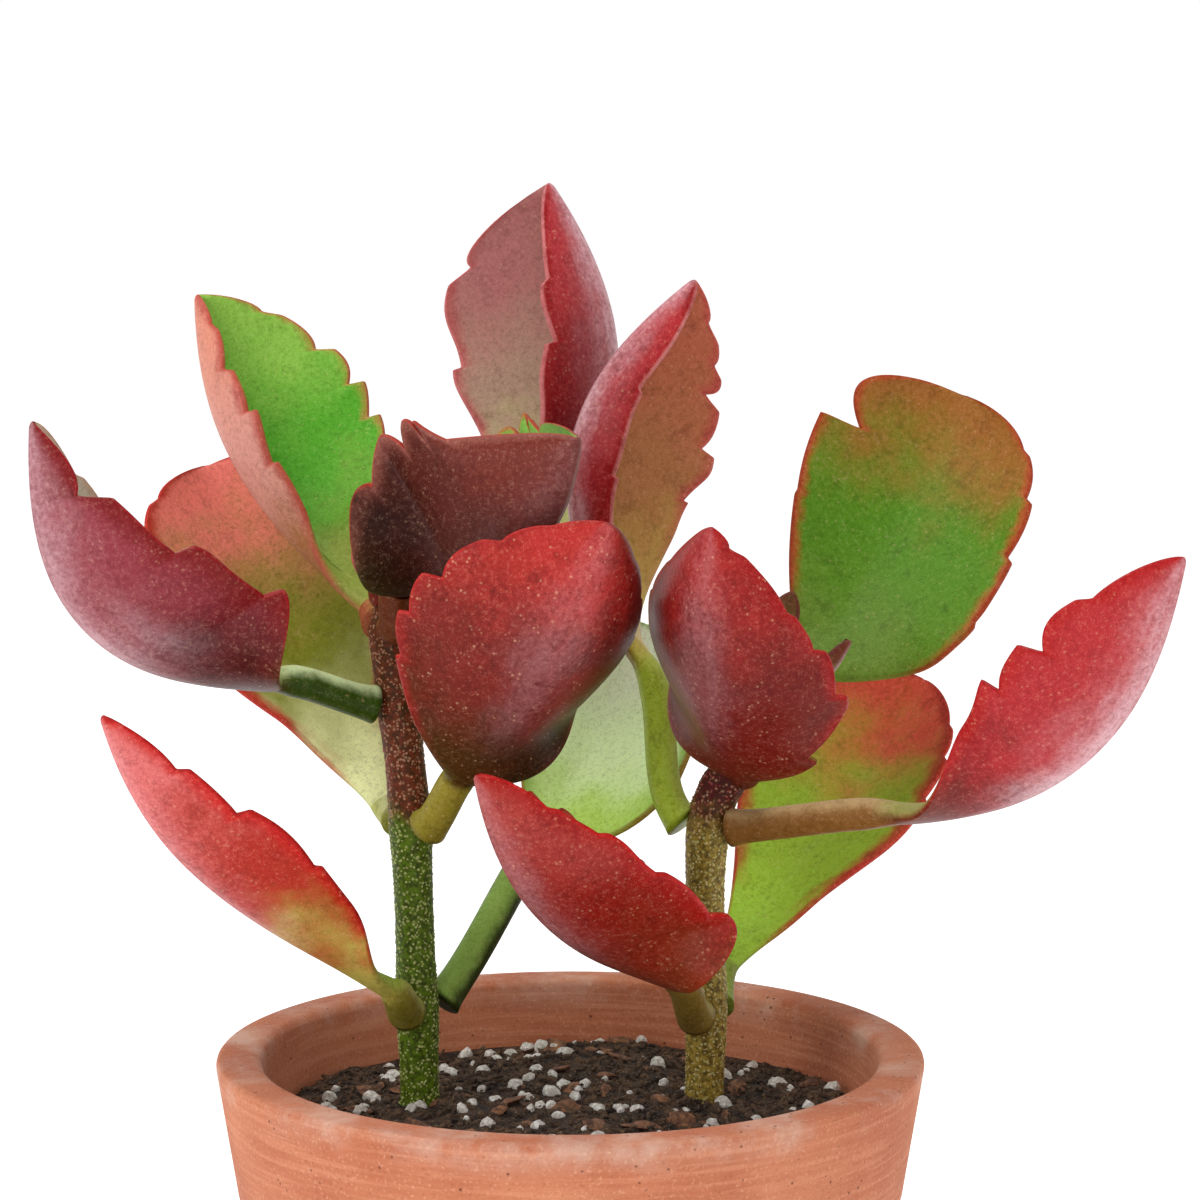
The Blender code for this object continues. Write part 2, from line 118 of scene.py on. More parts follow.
class Finish(Nodes):
    """A material round one shader. A value that is the same all over is set on the shader."""

    def __init__(self, name, **everywhere):
        self.material = bpy.data.materials.new(name)
        self.material.use_nodes = True
        super().__init__(self.material.node_tree)
        self.shader = self.tree.nodes["Principled BSDF"]
        for socket, value in everywhere.items():
            self.set(socket.replace("_", " "), value)

    def set(self, socket, value):
        self.feed(self.shader.inputs[socket], value)

    def place(self):
        """Where a point of the piece is, in metres."""
        return self.node("ShaderNodeTexCoord", output="Object")

    def height(self):
        """How high a point is over the table, in metres."""
        return self.node("ShaderNodeSeparateXYZ", values={0: self.place()}, output=2)

    def noise(self, per_metre, detail=2, roughness=0.5, place=None):
        return self.node("ShaderNodeTexNoise", values={
            "Vector": place or self.place(), "Scale": per_metre, "Detail": detail,
            "Roughness": roughness})

    def cells(self, per_metre):
        """The distance to the middle of the nearest of many cells."""
        return self.node("ShaderNodeTexVoronoi", values={
            "Vector": self.place(), "Scale": per_metre})

    def step(self, low, high, value):
        """0 below low, 1 above high and smooth between; low may be the greater."""
        return self.node("ShaderNodeMapRange", {"interpolation_type": "SMOOTHSTEP"},
                         {"Value": value, "From Min": low, "From Max": high})

    def blend(self, share, first, second, way="MIX"):
        return self.node("ShaderNodeMix", {"data_type": "RGBA", "blend_type": way},
                         {0: share, 6: first, 7: second}, output=2)

    def relief(self, height, strength, deepest):
        """Small rises and dents that only the light shows, the deepest in metres."""
        self.set("Normal", self.node("ShaderNodeBump", values={
            "Height": height, "Strength": strength, "Distance": deepest}))


def paint(red, green, blue):
    """A colour as a painter's chart gives it, 0 to 255, as light."""
    return (*(((c / 255 + 0.055) / 1.055) ** 2.4 for c in (red, green, blue)), 1)


def put(name, data):
    """An object in the scene that shows this mesh, curve, lamp or camera."""
    obj = bpy.data.objects.new(name, data)
    bpy.context.scene.collection.objects.link(obj)
    return obj


def plain_mesh(name, bm):
    """The bmesh as a mesh."""
    mesh = bpy.data.meshes.new(name)
    bm.to_mesh(mesh)
    bm.free()
    return mesh


def table_top():
    bm = bmesh.new()
    bmesh.ops.create_circle(bm, cap_ends=True, segments=96, radius=30)
    mesh = plain_mesh("table_top", bm)
    white = Finish("matt_white", Roughness=0.9, Emission_Color=(1, 1, 1, 1),
                   Emission_Strength=0.5)
    cloudy = white.step(0.35, 0.65, white.noise(4))
    white.set("Base Color", white.blend(cloudy, paint(243, 243, 243), paint(247, 247, 247)))
    mesh.materials.append(white.material)
    put("table_top", mesh)


def lamp(name, place, aim, size, watts):
    light = bpy.data.lights.new(name, "AREA")
    light.shape = "DISK"
    light.size = size
    light.energy = watts
    obj = put(name, light)
    obj.location = place
    obj.rotation_euler = (Vector(aim) - Vector(place)).to_track_quat("-Z", "Y").to_euler()


def camera():
    data = bpy.data.cameras.new("camera")
    data.sensor_width = 36
    data.lens = 124
    data.clip_start = 0.01
    data.clip_end = 100
    obj = put("camera", data)
    obj.location = (0.0045, -0.61397, 0.24554)
    obj.rotation_euler = (math.radians(82), 0, 0)
    bpy.context.scene.camera = obj


def white_room():
    """Walls that are brightest at eye level, all round, and dimmer overhead."""
    world = bpy.data.worlds.new("white_room")
    world.use_nodes = True
    room = Nodes(world.node_tree)
    walls = room.tree.nodes["Background"].inputs
    direction = room.node("ShaderNodeTexCoord")
    up = room.node("ShaderNodeSeparateXYZ", values={0: direction}, output=2)
    room.feed(walls["Color"], (1, 1, 1, 1))
    room.feed(walls["Strength"], room.node("ShaderNodeMapRange", values={
        "Value": up, "From Min": 0.1, "From Max": 0.7, "To Min": 1, "To Max": 0.45}))
    bpy.context.scene.world = world


table_top()
lamp("overhead_lamp", (-0.25, -0.15, 1.3), (0, 0, 0.15), 1.1, 9)
lamp("side_lamp", (-0.8, -0.85, 0.55), (0, 0, 0.15), 0.5, 2.4)
white_room()
bpy.context.scene.view_settings.view_transform = "Standard"
camera()

# ---------------------------------------------------------------- pot
# A plain flower pot, turned from red clay on a wheel and fired unglazed, with a band round its
# mouth and four drain holes. It shows the turner's rings, pores and a bloom of dried salts.

MM = 0.001
POT_HEIGHT = 90 * MM
POT_MOUTH_RADIUS = 54 * MM
POT_FOOT_RADIUS = 37 * MM
POT_WALL = 4.5 * MM
POT_FLOOR = 5.5 * MM
BAND_HEIGHT = 22 * MM
BAND_STEP = 2.5 * MM
DRAIN_HOLES = 4
DRAIN_RADIUS = 4.5 * MM
DRAIN_CIRCLE = 19 * MM


def outer_radius(height):
    top = POT_MOUTH_RADIUS - BAND_STEP
    return POT_FOOT_RADIUS + (top - POT_FOOT_RADIUS) * height / POT_HEIGHT


def inner_radius(height):
    return outer_radius(height) - POT_WALL


def rounded(corners):
    """A line of (radius, height) points through corners of (radius, height, rounding)."""
    points = []
    for k, (x, z, rounding) in enumerate(corners):
        here = np.array([x, z])
        if not rounding:
            points.append(here)
            continue
        before = np.array(corners[k - 1][:2]) - here
        after = np.array(corners[k + 1][:2]) - here
        start = here + before / np.linalg.norm(before) * rounding
        end = here + after / np.linalg.norm(after) * rounding
        for t in np.linspace(0, 1, 6):
            points.append((1 - t) ** 2 * start + 2 * t * (1 - t) * here + t**2 * end)
    return points


def finished(name, mesh, finish):
    mesh.materials.clear()
    mesh.materials.append(finish.material)
    return put(name, mesh)


def turned(name, line, steps, finish):
    """A line of (radius, height) points, from one point on the axis to the other, turned about
    Z into a closed skin."""
    if line[0][1] < line[-1][1]:
        line = line[::-1]
    turns = [math.tau * k / steps for k in range(steps)]
    points, rings = [], []
    for radius, z in line:
        spots = turns if radius > 0 else turns[:1]
        rings.append(range(len(points), len(points) + len(spots)))
        points += [(radius * math.cos(a), radius * math.sin(a), z) for a in spots]
    faces = []
    for ring, after in zip(rings, rings[1:]):
        for k in range(steps):
            corners = ((ring, k), (after, k), (after, k + 1), (ring, k + 1))
            faces.append(list(dict.fromkeys(loop[at % len(loop)] for loop, at in corners)))
    mesh = bpy.data.meshes.new(name)
    mesh.from_pydata(points, [], faces)
    mesh.shade_smooth()
    return finished(name, mesh, finish)


def as_it_looks(obj):
    """The object's shape with its modifiers, as a plain mesh."""
    depsgraph = bpy.context.evaluated_depsgraph_get()
    return bpy.data.meshes.new_from_object(obj.evaluated_get(depsgraph))


def fired_clay():
    """Red clay with the turner's rings, grog, pores and a bloom of dried salts."""
    clay = Finish("fired_clay", Roughness=0.85, IOR=1.45)
    height = clay.height()
    # rings: the same noise stretched round the axis
    ringed = clay.node("ShaderNodeMapping", values={
        "Vector": clay.place(), "Scale": (0.04, 0.04, 1)})
    rings = clay.noise(1100, 3, 0.6, ringed)
    wide_rings = clay.noise(190, 1, 0.5, ringed)
    clouds = clay.noise(28, 4, 0.6)
    grog = clay.noise(1900, 2, 0.6)
    pore = clay.step(0.2, 0.08, clay.cells(620)) * clay.step(0.5, 0.62, clay.noise(300, 1))
    colour = clay.blend(clay.step(0.3, 0.7, clouds), paint(176, 98, 66), paint(199, 124, 89))
    colour = clay.blend(clay.step(0.42, 0.7, rings) * 0.5, colour, paint(214, 143, 108))
    colour = clay.blend(clay.step(0.55, 0.75, grog) * 0.45, colour, paint(226, 170, 140))
    colour = clay.blend(clay.step(0.42, 0.25, grog) * 0.4, colour, paint(128, 66, 45))
    # dried salts: along the band's lower edge, at the foot and at the lip
    patches = clay.step(0.42, 0.72, clay.noise(75, 5, 0.65))
    band = POT_HEIGHT - BAND_HEIGHT
    foot = clay.step(22 * MM, 0.0, height)
    under_band = clay.step(band - 18 * MM, band - 2 * MM, height)
    under_band = under_band * clay.step(band + 1.5 * MM, band, height)
    lip = clay.step(POT_HEIGHT - 6 * MM, POT_HEIGHT - 0.5 * MM, height)
    salts = patches * (foot * 0.75 + under_band * 0.5 + lip * 0.4)
    colour = clay.blend(salts, colour, paint(226, 211, 196))
    # the clay is darker where it stays damp
    damp = clay.step(30 * MM, band - 13 * MM, height) * clay.step(band, band - 18 * MM, height)
    colour = clay.blend(damp * 0.3 * clouds, colour, paint(143, 80, 57))
    clay.set("Base Color", clay.blend(pore * 0.8, colour, paint(98, 50, 34)))
    clay.set("Roughness", 0.8 + 0.12 * clouds)
    clay.relief(rings * 0.35 + wide_rings * 0.5 + grog * 0.3 - pore * 0.6, 0.55, 0.4 * MM)
    return clay


def make_pot():
    top, band = POT_HEIGHT, POT_HEIGHT - BAND_HEIGHT
    band_radius = outer_radius(band) + BAND_STEP
    line = rounded([
        (0, POT_FLOOR, 0),
        (inner_radius(POT_FLOOR), POT_FLOOR, 2.5 * MM),
        (inner_radius(top), top, 1.6 * MM),
        (POT_MOUTH_RADIUS, top, 1.6 * MM),
        (band_radius, band, 1.1 * MM),
        (outer_radius(band), band, 0.7 * MM),
        (POT_FOOT_RADIUS, 0, 1.5 * MM),
        (0, 0, 0),
    ])
    pot = turned("pot_turned", line, 144, fired_clay())
    for k in range(DRAIN_HOLES):
        angle = math.tau * (k + 0.5) / DRAIN_HOLES
        bm = bmesh.new()
        bmesh.ops.create_cone(bm, cap_ends=True, segments=32, radius1=DRAIN_RADIUS,
                              radius2=DRAIN_RADIUS, depth=3 * POT_FLOOR)
        where = (DRAIN_CIRCLE * math.cos(angle), DRAIN_CIRCLE * math.sin(angle), POT_FLOOR / 2)
        bmesh.ops.translate(bm, vec=where, verts=bm.verts)
        drill = put("drill", plain_mesh("drill", bm))
        hole = pot.modifiers.new("hole", "BOOLEAN")
        hole.operation = "DIFFERENCE"
        hole.object = drill
        drilled = as_it_looks(pot)
        pot.modifiers.clear()
        pot.data = drilled
        bpy.data.objects.remove(drill)
    pot.data.set_sharp_from_angle(angle=math.radians(60))
    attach(pot, "root")
    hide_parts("pot")


make_pot()

# ---------------------------------------------------------------- potting mix
# Peat and bark with perlite, poured in loose and watered down to a low crown. Crumbs, bark
# chips and white perlite lie on it at random.

MIX_LEVEL = 82 * MM
MIX_CROWN = 2.5 * MM
MIX_GAP = 0.3 * MM


class Recipe(Nodes):
    """A Geometry Nodes tree with named sizes. It turns one object's shape into a plain mesh."""

    def __init__(self, name, sizes):
        super().__init__(bpy.data.node_groups.new(name, "GeometryNodeTree"))
        face = self.tree.interface
        face.new_socket(name="Shape", in_out="INPUT", socket_type="NodeSocketGeometry")
        self.keys = {}
        for size, kind in sizes.items():
            socket = face.new_socket(name=size, in_out="INPUT", socket_type=f"NodeSocket{kind}")
            self.keys[size] = socket.identifier
        face.new_socket(name="Shape", in_out="OUTPUT", socket_type="NodeSocketGeometry")
        self.given = self.tree.nodes.new("NodeGroupInput")
        self.result = self.tree.nodes.new("NodeGroupOutput")

    def size(self, name):
        return Wire(self, self.given.outputs[name])

    def scaled(self, vector, factor):
        return self.node("ShaderNodeVectorMath", {"operation": "SCALE"}, {
            0: vector, "Scale": factor})

    def end_with(self, shape):
        solid = self.node("GeometryNodeRealizeInstances", values={"Geometry": shape})
        dressed = self.node("GeometryNodeSetMaterial", values={
            "Geometry": solid, "Material": self.size("Finish")})
        self.feed(self.result.inputs["Shape"], dressed)

    def make(self, name, source, finish, **values):
        """The plain mesh object that the tree makes of the source, which is then removed."""
        modifier = source.modifiers.new("recipe", "NODES")
        modifier.node_group = self.tree
        modifier[self.keys["Finish"]] = finish.material
        for size, value in values.items():
            modifier[self.keys[size]] = value
        mesh = as_it_looks(source)
        mesh.name = name
        source.modifiers.remove(modifier)
        bpy.data.objects.remove(source)
        return finished(name, mesh, finish)


def strewing():
    """Bits from a collection on a surface, each turned and sized at random and sunk a little."""
    recipe = Recipe("strewing", {
        "Bits": "Collection", "Bits_per_m2": "Float", "Smallest": "Float", "Largest": "Float",
        "Sunk": "Float", "Tumble": "Float", "Seed": "Int", "Finish": "Material"})
    spots = recipe.node("GeometryNodeDistributePointsOnFaces", values={
        "Mesh": recipe.size("Shape"), "Density": recipe.size("Bits_per_m2"),
        "Seed": recipe.size("Seed")})
    bits = recipe.node("GeometryNodeCollectionInfo", values={
        "Collection": recipe.size("Bits"), "Separate Children": True, "Reset Children": True})
    tumble = recipe.scaled((1, 1, 0), recipe.size("Tumble"))
    turn_low = recipe.scaled(tumble, -1.0)
    turn_high = recipe.node("ShaderNodeVectorMath", {"operation": "ADD"}, {
        0: tumble, 1: (0, 0, math.tau)})
    turn = recipe.node("FunctionNodeRandomValue", {"data_type": "FLOAT_VECTOR"}, {
        0: turn_low, 1: turn_high, "Seed": recipe.size("Seed")})
    scale = recipe.node("FunctionNodeRandomValue", {"data_type": "FLOAT"}, {
        2: recipe.size("Smallest"), 3: recipe.size("Largest"), "Seed": recipe.size("Seed")},
        output=1)
    laid = recipe.node("GeometryNodeInstanceOnPoints", values={
        "Points": spots, "Instance": bits, "Pick Instance": True,
        "Rotation": spots.beside("Rotation"), "Scale": scale})
    turned_bits = recipe.node("GeometryNodeRotateInstances", values={
        "Instances": laid, "Rotation": turn})
    sunk = recipe.node("GeometryNodeTranslateInstances", values={
        "Instances": turned_bits, "Translation": recipe.scaled((0, 0, -1), recipe.size("Sunk"))})
    recipe.end_with(sunk)
    return recipe


def crumb(rng, proportions, fineness, roughening):
    """A lump about 1 m across, dented at random."""
    bm = bmesh.new()
    bmesh.ops.create_icosphere(bm, subdivisions=fineness, radius=0.5)
    for vert in bm.verts:
        vert.co *= 1 + rng.uniform(-roughening, roughening)
        vert.co = Vector(c * p for c, p in zip(vert.co, proportions))
    return bpy.data.objects.new("crumb", plain_mesh("crumb", bm))


def bin_of(name, lumps):
    bits = bpy.data.collections.new(name)
    for lump in lumps:
        bits.objects.link(lump)
    return bits


def empty(bits):
    """Throw the bin and its lumps away, once they are strewn."""
    for lump in list(bits.objects):
        bpy.data.objects.remove(lump)
    bpy.data.collections.remove(bits)


def mix_surface_height(x, y, waves):
    crown = MIX_LEVEL - MIX_CROWN * (x * x + y * y) / inner_radius(MIX_LEVEL) ** 2
    return crown + sum(high * math.sin(kx * x + ky * y + start) for high, kx, ky, start in waves)


def earth(name, dark, light, fleck):
    """Damp fibrous earth: dark, with paler fibres and grit."""
    soil = Finish(name)
    colour = soil.blend(soil.step(0.35, 0.68, soil.noise(420, 4, 0.65)), dark, light)
    grit = soil.step(0.62, 0.74, soil.noise(2600, 1))
    soil.set("Base Color", soil.blend(grit * 0.6, colour, fleck))
    soil.set("Roughness", 0.82 + 0.15 * soil.noise(900, 1))
    soil.relief(soil.noise(1700, 4, 0.7), 0.9, 0.5 * MM)
    return soil


def pine_bark():
    bark = Finish("pine_bark", Roughness=0.85)
    layers = bark.node("ShaderNodeMapping", values={
        "Vector": bark.place(), "Scale": (1, 0.25, 2)})
    light = bark.step(0.35, 0.65, bark.noise(700, 4, 0.7, layers))
    bark.set("Base Color", bark.blend(light, paint(74, 44, 29), paint(150, 103, 70)))
    bark.relief(bark.noise(1300, 3, 0.7, layers), 0.8, 0.4 * MM)
    return bark


def puffed_rock():
    perlite = Finish("perlite", Roughness=0.9)
    light = perlite.step(0.4, 0.65, perlite.noise(1500, 3, 0.6))
    perlite.set("Base Color", perlite.blend(light, paint(196, 190, 180), paint(240, 238, 232)))
    perlite.relief(perlite.noise(2200, 3, 0.7), 0.8, 0.3 * MM)
    return perlite


def make_mix():
    rng = np.random.default_rng(7)
    waves = [(0.3 * MM, *rng.uniform(-160, 160, 2), rng.uniform(0, 6.28)) for _ in range(9)]
    waves += [(0.12 * MM, *rng.uniform(-600, 600, 2), rng.uniform(0, 6.28)) for _ in range(12)]
    edge = MIX_LEVEL - MIX_CROWN
    reach = inner_radius(edge) - MIX_GAP
    low = POT_FLOOR + MIX_GAP
    line = [(share * reach, MIX_LEVEL - MIX_CROWN * share**2) for share in np.linspace(0, 1, 46)]
    line += [(inner_radius(low) - MIX_GAP, low), (0, low)]
    peat = earth("damp_peat", paint(38, 27, 20), paint(84, 62, 45), paint(150, 125, 98))
    mix = turned("mix_body", line, 150, peat)
    for vert in mix.data.vertices:
        x, y, z = vert.co
        if z > edge - 0.5 * MM:
            inside = min(1, (reach - math.hypot(x, y)) / (3 * MM))
            vert.co.z = z + (mix_surface_height(x, y, waves) - z) * max(0, inside)
    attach(mix, "root")
    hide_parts("potting_mix")

    def bed(share):
        """A copy of the mix's top, for bits to lie on."""
        bm = bmesh.new()
        bm.from_mesh(mix.data)
        gone = [f for f in bm.faces if f.normal.z < 0.5 or f.calc_center_median().xy.length
                > reach * share]
        bmesh.ops.delete(bm, geom=gone, context="FACES")
        return put("bed", plain_mesh("bed", bm))

    strew = strewing()

    def strewn(name, finish, shapes, fineness, roughening, share, **sizes):
        bits = bin_of(name, [crumb(rng, shape, fineness, roughening) for shape in shapes])
        lying = strew.make(name, bed(share), finish, Bits=bits, **sizes)
        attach(lying, "root")
        empty(bits)

    fibre = earth("crumbly_peat", paint(46, 32, 23), paint(104, 78, 56), paint(168, 142, 112))
    strewn("mix_crumbs", fibre, ((1, 0.8, 0.6), (1.2, 0.6, 0.5), (0.8, 1, 0.8), (1.8, 0.35, 0.3)),
           1, 0.3, 0.985, Bits_per_m2=620000.0, Smallest=0.9 * MM, Largest=2.5 * MM,
           Sunk=0.2 * MM, Tumble=0.6, Seed=3)
    strewn("mix_bark_chips", pine_bark(), ((1, 0.55, 0.22), (1, 0.75, 0.18), (0.7, 0.5, 0.25)),
           2, 0.16, 0.9, Bits_per_m2=11000.0, Smallest=3 * MM, Largest=7.5 * MM,
           Sunk=-0.4 * MM, Tumble=0.35, Seed=11)
    strewn("mix_perlite", puffed_rock(), [(1, 0.85, 0.75)] * 4,
           2, 0.14, 0.95, Bits_per_m2=26000.0, Smallest=1.2 * MM, Largest=3.4 * MM,
           Sunk=0.1 * MM, Tumble=1.5, Seed=21)


make_mix()

# ---------------------------------------------------------------- stems
# Two fleshy stems, rooted in the mix, that swell at each joint where a pair of leaves sits. The
# skin is rough with pale grains; it is green low down and wine red on the young top.

STEM_RADIUS = 3.05 * MM
NODE_SWELLING = 0.35 * MM
STEM_TIP_RADIUS = 1.5 * MM
ROOT_NECK_RADIUS = 3.3 * MM
ROOT_END_RADIUS = 1.5 * MM
ROOTED_DEPTH = 26 * MM
STEM_STEP = 0.35 * MM
SCAR_OVER_JOINT = 1.5 * MM
SCAR_WIDTH = 0.35 * MM
SCAR_DEPTH = 0.16 * MM
LUMP_HEIGHT = 0.1 * MM
RED_FROM = MIX_LEVEL + 41 * MM
RED_BY = MIX_LEVEL + 47 * MM
RED_RAGGED = 12 * MM


def unit(v):
    return v / np.linalg.norm(v)


def in_world(point_mm):
    """A point of the plant, in millimetres from the middle of the mix, in world metres."""
    return np.array(point_mm, float) * MM + np.array([0, 0, MIX_LEVEL])


def smooth_path(points, spacing):
    """Evenly spaced points of a smooth curve through these (Catmull-Rom)."""
    ends = [2 * points[0] - points[1], *points, 2 * points[-1] - points[-2]]
    dense = []
    for a, b, c, d in zip(ends, ends[1:], ends[2:], ends[3:]):
        for t in np.linspace(0, 1, 12, endpoint=False):
            dense.append(
                0.5 * (2 * b + (c - a) * t + (2 * a - 5 * b + 4 * c - d) * t**2)
                + 0.5 * (3 * b - a - 3 * c + d) * t**3
            )
    dense = np.array([*dense, points[-1]])
    run = np.concatenate([[0], np.cumsum(np.linalg.norm(np.diff(dense, axis=0), axis=1))])
    even = np.linspace(0, run[-1], max(4, round(run[-1] / spacing)))
    return np.stack([np.interp(even, run, dense[:, k]) for k in range(3)], axis=1)


class Stem:
    """An upright stem through its joints, which ends in its growing tip."""

    def __init__(self, name, soil_point, joints, tip):
        self.name = name
        self.level = in_world(soil_point)
        self.joints = [in_world(joint) for joint in joints]
        self.tip = in_world(tip)
        root = self.level - np.array([0, 0, ROOTED_DEPTH])
        self.path = smooth_path([root, self.level, *self.joints, self.tip], 3.2 * MM)

    def centre(self, height):
        return np.array([np.interp(height, self.path[:, 2], self.path[:, k]) for k in range(3)])

    def radius(self, height):
        if height < MIX_LEVEL:
            depth = (MIX_LEVEL - height) / ROOTED_DEPTH
            return ROOT_NECK_RADIUS + (ROOT_END_RADIUS - ROOT_NECK_RADIUS) * depth
        top = self.joints[-1][2]
        if height > top:
            share = (height - top) / (self.tip[2] - top)
            return STEM_RADIUS + (STEM_TIP_RADIUS - STEM_RADIUS) * share
        radius = STEM_RADIUS
        for joint in self.joints:
            away = (height - joint[2]) / (2 * STEM_RADIUS)
            radius += NODE_SWELLING * math.exp(-(away**2))
        return radius

    def gap(self, point):
        """How far a point lies outside the stem's surface, at the point's own height."""
        away = point - self.centre(point[2])
        return math.hypot(away[0], away[1]) - self.radius(point[2])

    def curve(self):
        """The centreline as a curve object, with the radius at each point."""
        data = bpy.data.curves.new(self.name, "CURVE")
        data.dimensions = "3D"
        spline = data.splines.new("POLY")
        low, high = self.path[0, 2], self.tip[2]
        heights = np.linspace(low, high, round((high - low) / STEM_STEP))
        spline.points.add(len(heights) - 1)
        for point, height in zip(spline.points, heights):
            point.co = (*self.centre(height), 1)
            # the lumps rise from a little under the skin
            point.radius = self.radius(height) - 1.2 * LUMP_HEIGHT
            for joint in self.joints:
                # the scar that rings the stem over each joint
                scar = (height - joint[2] - SCAR_OVER_JOINT) / SCAR_WIDTH
                point.radius -= SCAR_DEPTH * math.exp(-(scar**2))
            close = (high - height) / STEM_TIP_RADIUS
            if close < 1:
                point.radius *= math.sqrt(max(0.02, 1 - (1 - close) ** 2))
        return put(self.name, data)


def stem_growing():
    """A round sweep along a curve, with its skin raised in low lumps."""
    recipe = Recipe("stem_growing", {
        "Sides": "Int", "Lumps_per_m": "Float", "Lump_height": "Float", "Finish": "Material"})
    ring = recipe.node("GeometryNodeCurvePrimitiveCircle", values={
        "Resolution": recipe.size("Sides"), "Radius": 1.0})
    sweep = recipe.node("GeometryNodeCurveToMesh", values={
        "Curve": recipe.size("Shape"), "Profile Curve": ring, "Fill Caps": True,
        "Scale": recipe.node("GeometryNodeInputRadius")})
    lumps = recipe.node("ShaderNodeTexNoise", values={
        "Scale": recipe.size("Lumps_per_m"), "Detail": 2.0})
    height = (lumps * 2 - 1) * recipe.size("Lump_height")
    raised = recipe.node("GeometryNodeSetPosition", values={
        "Geometry": sweep, "Offset": recipe.scaled(recipe.node("GeometryNodeInputNormal"), height)})
    smooth = recipe.node("GeometryNodeSetShadeSmooth", values={
        "Geometry": raised, "Shade Smooth": True})
    recipe.end_with(smooth)
    return recipe


def stem_skin(name, green, red, darkest):
    """Grainy skin, green low down and red on top."""
    skin = Finish(name, IOR=1.42, Specular_IOR_Level=0.25)
    clouds = skin.noise(190, 3, 0.6)
    grain = skin.noise(1150, 3, 0.7)
    wart = skin.step(0.42, 0.18, skin.cells(1350)) * skin.step(0.3, 0.55, skin.noise(700, 1))
    reddening = skin.step(RED_FROM, RED_BY, skin.height() + (clouds - 0.5) * RED_RAGGED)
    base = skin.blend(reddening, green, red)
    base = skin.blend(skin.step(0.62, 0.36, grain) * 0.75, base, darkest)
    pale = skin.blend(reddening, paint(205, 208, 138), paint(196, 150, 118))
    skin.set("Base Color", skin.blend(wart * 0.62, base, pale))
    skin.set("Roughness", 0.42 + 0.2 * grain)
    skin.relief(wart * 0.6 + grain * 0.6, 0.7, 0.22 * MM)
    return skin


left = Stem("stem_left", (-23, 0, 0),
            [(-23.3, 0, 15), (-24.2, 0, 43.4), (-25.9, 0, 61.7), (-27.2, 0, 73.5)], (-27.4, 0, 79))
right = Stem("stem_right", (20.5, 2, 0),
             [(20.7, 2, 13.8), (20.9, 2, 42.5), (26, 2, 53.3)], (28.5, 3, 60))


def make_stem(stem, skin, green_grain, red_grain, beads, growing, grains):
    grown = growing.make(f"{stem.name}_grown", stem.curve(), skin, Sides=36,
                         Lumps_per_m=420.0, Lump_height=LUMP_HEIGHT)
    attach(grown, "root")
    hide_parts(stem.name)
    bm = bmesh.new()
    bm.from_mesh(grown.data)
    bald = [v for v in bm.verts if v.co.z < MIX_LEVEL - MM or v.co.z > stem.tip[2] - MM]
    bmesh.ops.delete(bm, geom=bald, context="VERTS")
    bead = Finish(f"{stem.name}_grain", Roughness=0.45)
    reddening = bead.step(RED_FROM, RED_BY, bead.height())
    bead.set("Base Color", bead.blend(reddening, green_grain, red_grain))
    bare = put("bare_skin", plain_mesh("bare_skin", bm))
    warts = grains.make(f"{stem.name}_grains", bare, bead, Bits=beads, Bits_per_m2=1150000.0,
                        Smallest=0.22 * MM, Largest=0.48 * MM, Sunk=0.0, Tumble=0.3, Seed=8)
    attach(warts, "root")


def make_stems():
    growing = stem_growing()
    grains = strewing()
    rng = np.random.default_rng(5)
    beads = bin_of("beads", [crumb(rng, (1, 1, 0.7), 1, 0.12) for _ in range(3)])
    left_skin = stem_skin("left_stem_skin", paint(92, 120, 16), paint(112, 46, 22),
                          paint(34, 34, 6))
    right_skin = stem_skin("right_stem_skin", paint(160, 136, 56), paint(80, 8, 4),
                           paint(48, 26, 10))
    make_stem(left, left_skin, paint(176, 186, 110), paint(172, 118, 88), beads, growing, grains)
    make_stem(right, right_skin, paint(196, 176, 116), paint(140, 52, 42), beads, growing, grains)
    empty(beads)


make_stems()

# ---------------------------------------------------------------- lowest leaves, left stem
# A fleshy leaf and its stalk are one piece: the blade folds up from its midrib like a trough,
# and its edges are cut in blunt teeth that point to the tip. Leaves sit in opposite pairs.
# The lowest left pair: in front a narrow red one, behind a broad green one, painted nearly white on
# its upper side where the light falls.

STALK_HALF_WIDTH = 2.6 * MM
STALK_HALF_DEPTH = 2.45 * MM
BLADE_THICKNESS = 2.2 * MM
RIM_THICKNESS_SHARE = 0.55
MOST_CLIMB = math.radians(40)
STALK_EASE = 0.35
STALK_SINK = 0.75 * MM
FOOT_FLARE = 0.22
FOOT_LENGTH = 1.6 * MM
NECK_CLEARANCE = 0.3 * MM
TIP_THINNING = 0.45
TIP_ROUNDS_FROM = 0.985
TIP_LAST_ROW = 0.9995
TOOTH_POINT = 1.1 * MM
HALF_STEPS = 15
RIM_STEPS = 4


def bezier(a, b, c, d, t):
    t = t[:, None]
    return (1 - t) ** 3 * a + 3 * (1 - t) ** 2 * t * b + 3 * (1 - t) * t**2 * c + t**3 * d


def smoothstep(low, high, x):
    t = np.clip((np.asarray(x, float) - low) / (high - low), 0, 1)
    return t * t * (3 - 2 * t)


def flatness(shares):
    """0 where a leaf is a round stalk, 1 where it is a flat blade."""
    return smoothstep(-0.25, 0.2, shares)[:, None]


